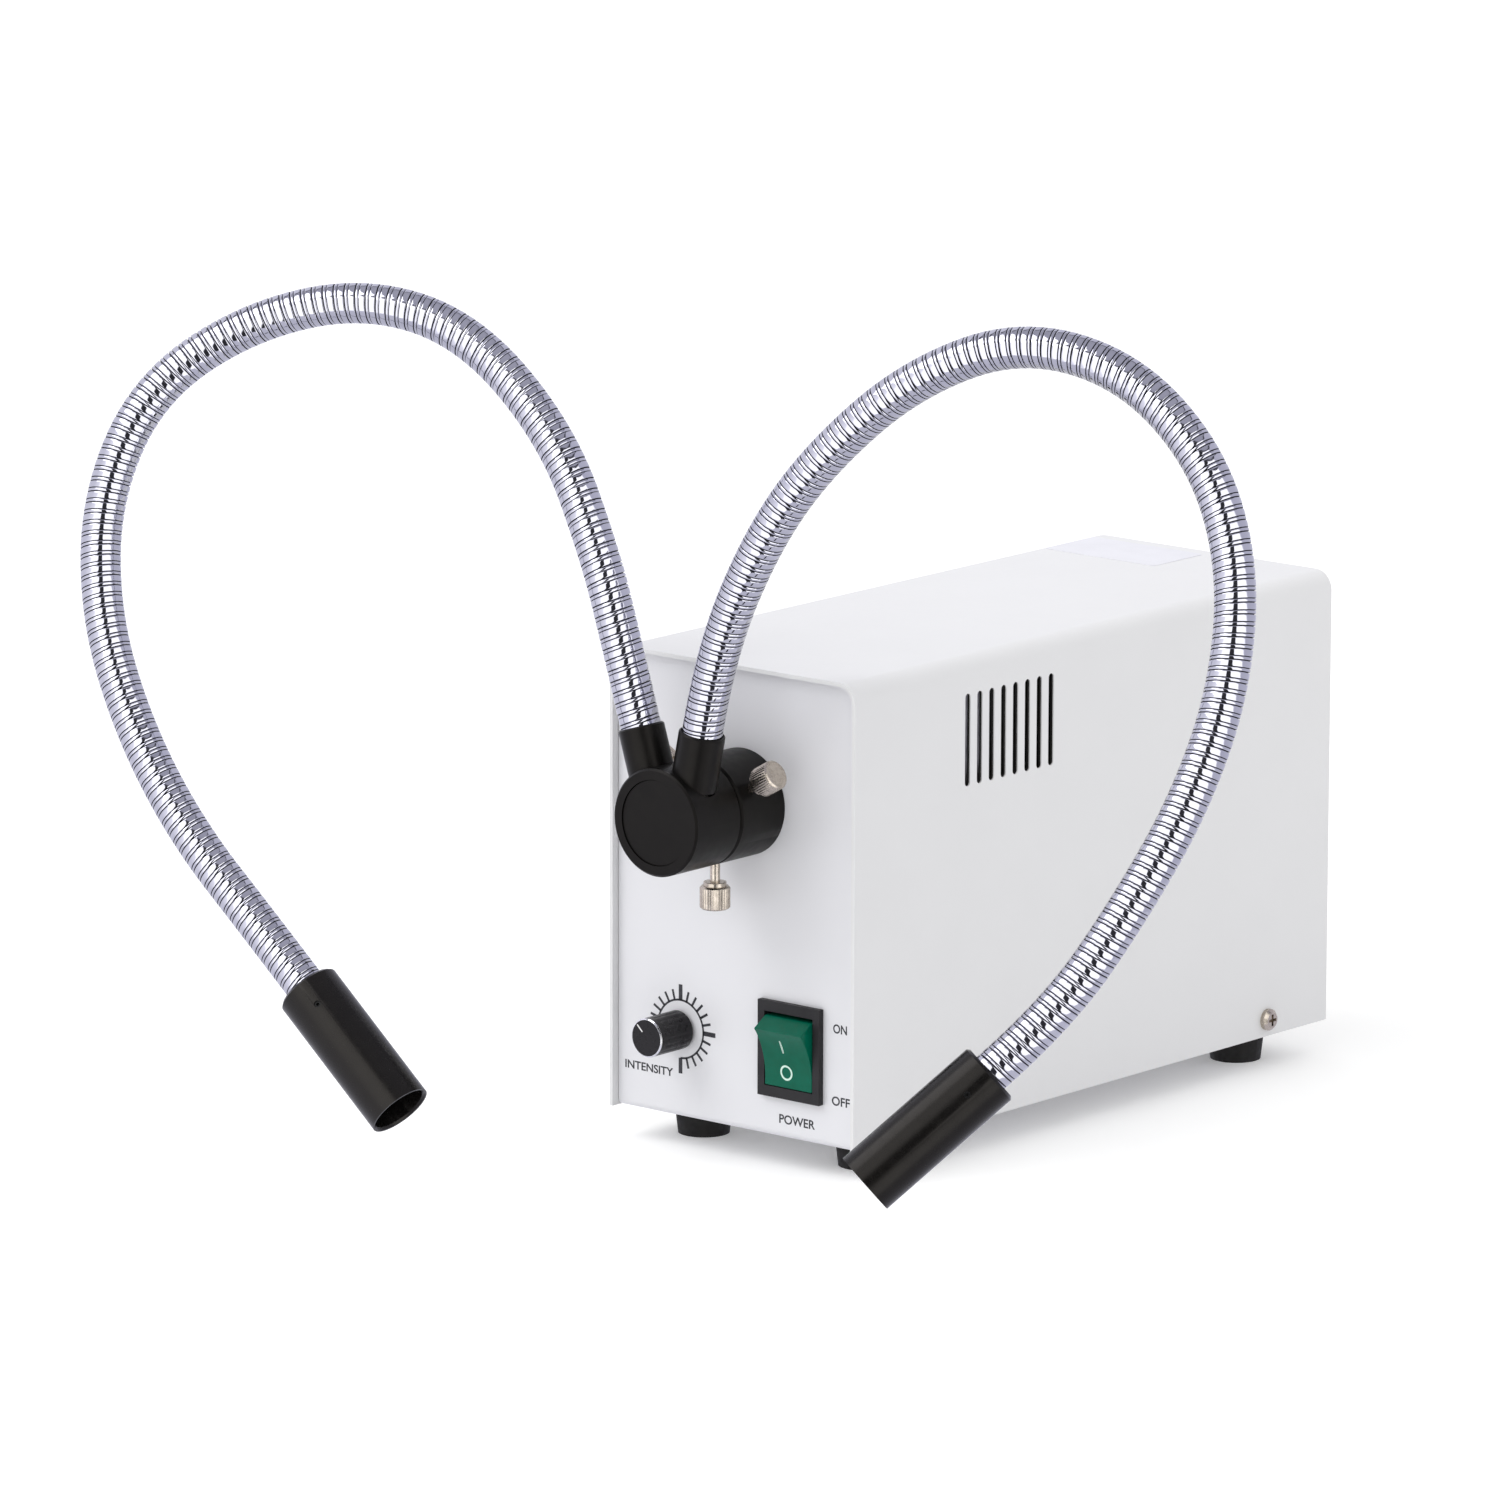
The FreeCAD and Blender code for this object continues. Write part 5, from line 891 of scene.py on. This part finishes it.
def makeDial():
    # one flat ring segment from nine o'clock clockwise to six, and a bar for each tick
    radius, half = printing["arcRadius"], printing["arcWidth"] / 2
    count, start, sweep = printing["arcPoints"], printing["arcStart"], printing["arcSweep"]
    outer, inner = (ring(radius + side * half, count, start, sweep) for side in (1, -1))
    parts = [("dial_arc", np.vstack([outer, inner[::-1]]))]
    for i, angle in enumerate(range(start, printing["lastTick"] - 1, -printing["tickStep"])):
        bold = angle % printing["boldStep"] == 0
        end, width = ("boldEnd", "boldWidth") if bold else ("tickEnd", "tickWidth")
        parts.append(("dial_tick_" + str(i), bar(angle, radius, printing[end], printing[width])))
    origin = (knobX, panelFace, controlZ)
    for name, outline in parts:
        piece = flatPiece(name, outline, origin, (1, 0, 0), (0, 0, 1), (0, -1, 0),
                          printing["thickness"], inkBlack)
        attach(piece, "root")


def makeWords():
    for name, (text, x, z, width, capital) in printing["words"].items():
        curve = bpy.data.curves.new(name, "FONT")
        curve.body = text
        curve.align_x = "LEFT"
        curve.offset = printing["letterWeight"]
        holder = bpy.data.objects.new(name, curve)
        bpy.context.scene.collection.objects.link(holder)
        bpy.context.view_layer.update()
        low, high = np.array(holder.bound_box[0]), np.array(holder.bound_box[6])
        bpy.data.objects.remove(holder)
        curve.extrude = printing["thickness"] * mm / 2
        # the letters are scaled to the printed width and height, about their middle
        right = Vector((width * mm / (high[0] - low[0]), 0, 0))
        up = Vector((0, 0, capital * mm / (high[1] - low[1])))
        centre = (low + high) / 2
        shift = right * centre[0] + up * centre[1]
        origin = (Vector((x, panelFace, z)) * mm - shift) / mm
        piece = fromCurve(name, curve, origin, right, up, (0, -1, 0), printing["thickness"], inkBlack)
        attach(piece, "root")
    print("printing done")


makeDial()
makeWords()


# Rocker symbols, on the rocker's hollow face.
rocker = {
    "pivotDepth": 4.6,
    "tilt": 16.0,
    "edge": 7.4,
    "dish": 1.7,
    "half": 9.22,
    "lift": 0.04,
    "bar": (-0.7, 3.65, 0.62, 4.4),
    "loop": (-0.6, -4.75, 2.3, 0.58),
    "symbolPoints": 48,
}


def onRocker(points, depth):
    # the hollow face is part of a cylinder along X; it leans about the pivot into the off position
    x, z = points.T
    hollow = (rocker["half"] ** 2 + rocker["dish"] ** 2) / (2 * rocker["dish"])
    y = rocker["dish"] - rocker["edge"] - hollow + np.sqrt(hollow ** 2 - z ** 2) - depth
    tilt = math.radians(rocker["tilt"])
    pivotY = panelFace - bezelProud + rocker["pivotDepth"]
    return np.column_stack([switchX + x, pivotY + y * math.cos(tilt) - z * math.sin(tilt),
                            controlZ + y * math.sin(tilt) + z * math.cos(tilt)])


def raisedLoop(name, outer, inner, material):
    # a closed band between two rings, printed on the face, with a top, a bottom and two sides
    count = len(outer)
    sheets = [onRocker(outer, rocker["lift"]), onRocker(inner, rocker["lift"]),
              onRocker(inner, -rocker["lift"]), onRocker(outer, -rocker["lift"])]
    return addPiece(name, np.vstack(sheets), gridFaces(4, count, closed=True), material)


def makeRockerSymbols():
    mint = printedInk("mint_ink", "D8F2E6", "CDEBDD")
    x, z, width, height = rocker["bar"]
    count = rocker["symbolPoints"]
    angle = np.linspace(0, 2 * math.pi, count, endpoint=False)
    # the bar is a superellipse, whose sine and cosine are drawn out to their square roots
    rise = np.sign(np.sin(angle)) * np.sqrt(np.abs(np.sin(angle)))
    reach = np.sign(np.cos(angle)) * np.sqrt(np.abs(np.cos(angle)))
    outline = np.column_stack([x + width / 2 * reach, z + height / 2 * rise])
    core = np.column_stack([np.full(count, x), z + (height - width) / 2 * rise])
    stroke = raisedLoop("rocker_on_bar", outline, core, mint)
    x, z, radius, width = rocker["loop"]
    turn = np.column_stack([np.cos(angle), np.sin(angle)])
    loop = raisedLoop("rocker_off_ring", turn * radius + (x, z), turn * (radius - width) + (x, z), mint)
    for piece in (stroke, loop):
        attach(piece, "rocker")
    print("rocker symbols done")


makeRockerSymbols()


# Blank label on the cover's rear.
blankLabel = {"x": (-41.5, 1.5), "y": (84.0, 108.5), "corner": 1.6, "cornerPoints": 8, "thickness": 0.12}


def makeLabel():
    (left, right), (front, back) = blankLabel["x"], blankLabel["y"]
    corner, count = blankLabel["corner"], blankLabel["cornerPoints"]
    turns = [((right - corner, back - corner), 0), ((left + corner, back - corner), 90),
             ((left + corner, front + corner), 180), ((right - corner, front + corner), 270)]
    outline = np.vstack([ring(corner, count, start, 90) + centre for centre, start in turns])
    piece = flatPiece("blank_label", outline, (0, 0, coverHigh[2]), (1, 0, 0), (0, 1, 0), (0, 0, 1),
                      blankLabel["thickness"], labelFilm())
    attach(piece, "root")
    print("label done")


makeLabel()


# The rest of the frame: CAD shapes with their own finishes, some with rounded edges.
blackY = anodised("black_anodised_hub", (0, 1, 0), 0.4)
blackPlastic = mouldedPlastic("black_nylon", "242325", "2B2A2C", 0.5)

# rounded nodes: the width of the edge in millimetres, its segments and the finish
edges = {
    "cover": (0.25, 2, powderCoat()),
    "base_chassis": (0.25, 2, panelPaint()),
    "switch_housing": (0.3, 2, blackPlastic),
    "switch_rocker": (0.35, 3, rockerPlastic()),
    "mains_inlet": (0.3, 2, blackPlastic),
    "hub_cap": (0.2, 2, blackY),
    "port_collar": (0.2, 2, blackY),
    "left_tip_tube": (0.25, 2, anodised("black_anodised_left_tip", leftAim, 0.26, 0.3)),
    "right_tip_tube": (0.25, 2, anodised("black_anodised_right_tip", rightAim, 0.26, 0.24)),
}
for node, (width, segments, material) in edges.items():
    dress(softened(node, width, segments), material)

for side in ("left", "right"):
    tilt = math.radians(hose[side]["angle"])
    finish = anodised("black_anodised_" + side + "_ferrule", (math.sin(tilt), 0, math.cos(tilt)))
    dress(nodes[side + "_ferrule"], finish)

groups = [
    (footRubber(), ["rubber_feet"]),
    (nickel, ["upper_thumb_screw_stud", "left_thumb_screw_stud", "lower_thumb_screw_stud",
              "cover_screws", "input_ferrule"]),
    (zincScrew(), ["foot_screws", "bracket_screws", "fan_screws", "board_screws", "inlet_screws",
                   "potentiometer_shaft"]),
    (blackY, ["hub_body", "port_ring_nut", "lens_barrel"]),
    (mouldedPlastic("black_oxide_screw", "151516", "1D1D1F", 0.4),
     ["left_tip_grub_screw", "right_tip_grub_screw"]),
    (galvanised(), ["heat_sink_bracket", "fan_guard"]),
    (extrudedAluminium(), ["heat_sink"]),
    (fibreEnds(), ["guide_fibres", "left_tip_fibres", "right_tip_fibres"]),
    (opticalGlass(), ["left_tip_lens", "right_tip_lens", "condenser_lens"]),
    (circuitBoard(), ["power_board"]),
    (mouldedPlastic("led_board_ceramic", "E8E6DF", "DEDCD4", 0.4), ["led_board"]),
    (ledPhosphor(), ["led_emitter"]),
    (blackPlastic, ["fan_frame", "potentiometer"]),
    (mouldedPlastic("black_pbt", "2B2B2E", "333336", 0.4), ["fan_rotor"]),
    (nickelPlate("tinned_brass", 0.3), ["switch_terminals", "inlet_pins", "board_standoffs"]),
    (mouldedPlastic("transformer_tape", "C9A53A", "BD9830", 0.5), ["board_transformer"]),
    (mouldedPlastic("capacitor_sleeve", "1D2C52", "24355E", 0.3), ["board_capacitors"]),
    (mouldedPlastic("fuse_glass", "D5D9DA", "C6CBCD", 0.15), ["board_fuse"]),
    (mouldedPlastic("terminal_green", "2E7D46", "27703E", 0.45), ["board_terminals"]),
    (cableJacket("mains_wire", "6B3F24", "74482B"), ["mains_lead"]),
    (cableJacket("low_voltage_wire", "A3211C", "AE2B24"), ["board_leads"]),
]
for material, names in groups:
    for name in names:
        dress(nodes[name], material)
print("finishes done")


# Stage: floor, light and camera.
stageSettings = {
    "floorSide": 60.0,
    "worldLevel": 0.95,
    "keyPower": 27.0,
    "keyPlace": (-1.1, -1.5, 2.2),
    "keyAim": (0, 0, 0.1),
    "keySide": 1.8,
    "floorGlow": 0.2,
    "boxTop": 0.74,
    "boxFoot": -0.53,
    "boxEdge": 0.01,
    "boxLevel": 2.0,
}


def seenBy(tree, rays):
    # one for a ray of any of these kinds
    path = add(tree, "LightPath").outputs
    seen = path[rays[0]]
    for ray in rays[1:]:
        seen = add(tree, "Math", {"operation": "MAXIMUM"}, {0: seen, 1: path[ray]}).outputs[0]
    return seen


def makeFloor():
    half = stageSettings["floorSide"] / 2
    corners = [(-half, -half, 0), (half, -half, 0), (half, half, 0), (-half, half, 0)]
    mesh = bpy.data.meshes.new("floor")
    mesh.from_pydata(corners, [], [(0, 1, 2, 3)])
    floor = bpy.data.objects.new("floor", mesh)
    bpy.context.scene.collection.objects.link(floor)
    material, tree, shader = newMaterial("paper_sweep", "F6F6F6", Roughness=0.9)
    shader.inputs["Specular IOR Level"].default_value = 0.0
    seen = seenBy(tree, ("Is Camera Ray", "Is Glossy Ray", "Is Transmission Ray"))
    glow = add(tree, "Math", {"operation": "MULTIPLY", 1: stageSettings["floorGlow"]}, {0: seen})
    shader.inputs["Emission Color"].default_value = (1, 1, 1, 1)
    tree.links.new(glow.outputs[0], shader.inputs["Emission Strength"])
    mesh.materials.append(material)
    # polished metal sees the studio's table in the world instead
    floor.visible_glossy = False


# what polished metal sees round the photograph's viewpoint: degrees to its right, and the shade there
mirrorRound = (
    (-180, "B0B0BA"), (-95, "BCBCC5"), (-62, "D8D8DE"), (-54, "FFFFFF"), (-13, "FFFFFF"), (-11, "27272A"),
    (13, "27272A"), (15, "FFFFFF"), (64, "FFFFFF"), (72, "A0A0AC"), (180, "A8A8B4"),
)
# below and over the softboxes, by the sine of the height: the table, their dark frame, the ceiling
mirrorUpright = (
    (-1.0, "A6A6B0"), (-0.53, "B0B0BA"), (0.74, "3C3C42"), (0.79, "3C3C42"), (0.8, "898993"),
    (1.0, "90909A"),
)


def shadeRamp(tree, stops, source):
    ramp = add(tree, "ValToRGB", links={"Fac": source})
    while len(ramp.color_ramp.elements) < len(stops):
        ramp.color_ramp.elements.new(0.5)
    for element, (spot, shade) in zip(ramp.color_ramp.elements, stops):
        element.position = spot
        element.color = colour(shade)
    return ramp.outputs["Color"]


def makeWorld(toCamera):
    # plain white to the camera and to matt surfaces; polished metal sees a studio with two tall
    # softboxes and a dark gap between them
    world = bpy.data.worlds.new("studio")
    bpy.context.scene.world = world
    world.use_nodes = True
    tree = world.node_tree
    tree.nodes.clear()
    direction = add(tree, "TexCoord").outputs["Generated"]
    ahead = Vector((toCamera.x, toCamera.y, 0)).normalized()
    beside = Vector((0, 0, 1)).cross(ahead)
    parts = [add(tree, "VectorMath", {"operation": "DOT_PRODUCT", 1: tuple(axis)},
                 {0: direction}).outputs["Value"] for axis in (beside, ahead, Vector((0, 0, 1)))]
    turn = add(tree, "Math", {"operation": "ARCTAN2"}, {0: parts[0], 1: parts[1]}).outputs[0]
    stops = [(0.5 + degrees / 360, shade) for degrees, shade in mirrorRound]
    around = shadeRamp(tree, stops, ranged(tree, turn, 0, 1, -math.pi, math.pi))
    levels = [(0.5 + height / 2, shade) for height, shade in mirrorUpright]
    upright = shadeRamp(tree, levels, ranged(tree, parts[2], 0, 1, -1, 1))
    top, foot, edge = (stageSettings[key] for key in ("boxTop", "boxFoot", "boxEdge"))
    over = add(tree, "Math", {"operation": "ADD"}, {0: ranged(tree, parts[2], 0, 1, top, top + edge),
                                                    1: ranged(tree, parts[2], 1, 0, foot - edge, foot)})
    studio = add(tree, "Mix", {"data_type": "RGBA"}, {0: over.outputs[0], 6: around, 7: upright})
    white = (1, 1, 1, 1)
    plain = add(tree, "Background", {"Color": white, "Strength": stageSettings["worldLevel"]}).outputs[0]
    bright = add(tree, "Background", {"Color": white, "Strength": 1.0}).outputs[0]
    mirrored = add(tree, "Background", {"Strength": stageSettings["boxLevel"]},
                   {"Color": studio.outputs[2]}).outputs[0]
    mirror, seen = seenBy(tree, ("Is Glossy Ray",)), seenBy(tree, ("Is Camera Ray", "Is Transmission Ray"))
    glossy = add(tree, "MixShader", links={0: mirror, 1: plain, 2: mirrored}).outputs[0]
    final = add(tree, "MixShader", links={0: seen, 1: glossy, 2: bright})
    add(tree, "OutputWorld", links={"Surface": final.outputs[0]})


def makeKey():
    # one large softbox, up and to the left
    light = bpy.data.lights.new("softbox", "AREA")
    light.shape = "SQUARE"
    light.size = stageSettings["keySide"]
    light.energy = stageSettings["keyPower"]
    holder = bpy.data.objects.new("softbox", light)
    bpy.context.scene.collection.objects.link(holder)
    holder.location = stageSettings["keyPlace"]
    aim = Vector(stageSettings["keyAim"]) - holder.location
    holder.rotation_euler = aim.to_track_quat("-Z", "Y").to_euler()


view = {
    "place": (2135.3, -2637.1, 829.5),
    "yaw": -40.14,
    "pitch": 12.04,
    "roll": 0.15,
    "focal": 277.5,
    "sensor": 36.0,
    "clip": (0.1, 100.0),
}


def makeCamera():
    # yaw turns the view from +Y, pitch tips it down, roll turns the picture
    yaw, pitch, roll = (math.radians(view[key]) for key in ("yaw", "pitch", "roll"))
    forward = Vector((math.sin(yaw) * math.cos(pitch), math.cos(yaw) * math.cos(pitch), -math.sin(pitch)))
    level = Vector((math.cos(yaw), -math.sin(yaw), 0))
    upright = level.cross(forward)
    right = level * math.cos(roll) + upright * math.sin(roll)
    up = upright * math.cos(roll) - level * math.sin(roll)
    data = bpy.data.cameras.new("camera")
    data.sensor_width = view["sensor"]
    data.lens = view["focal"]
    data.clip_start, data.clip_end = view["clip"]
    camera = bpy.data.objects.new("camera", data)
    bpy.context.scene.collection.objects.link(camera)
    turn = Matrix([right, up, -forward]).transposed().to_4x4()
    camera.matrix_world = Matrix.Translation(Vector(view["place"]) * mm) @ turn
    bpy.context.scene.camera = camera
    return -forward


makeFloor()
makeWorld(makeCamera())
makeKey()
bpy.context.scene.view_settings.view_transform = "Standard"
print("stage done")
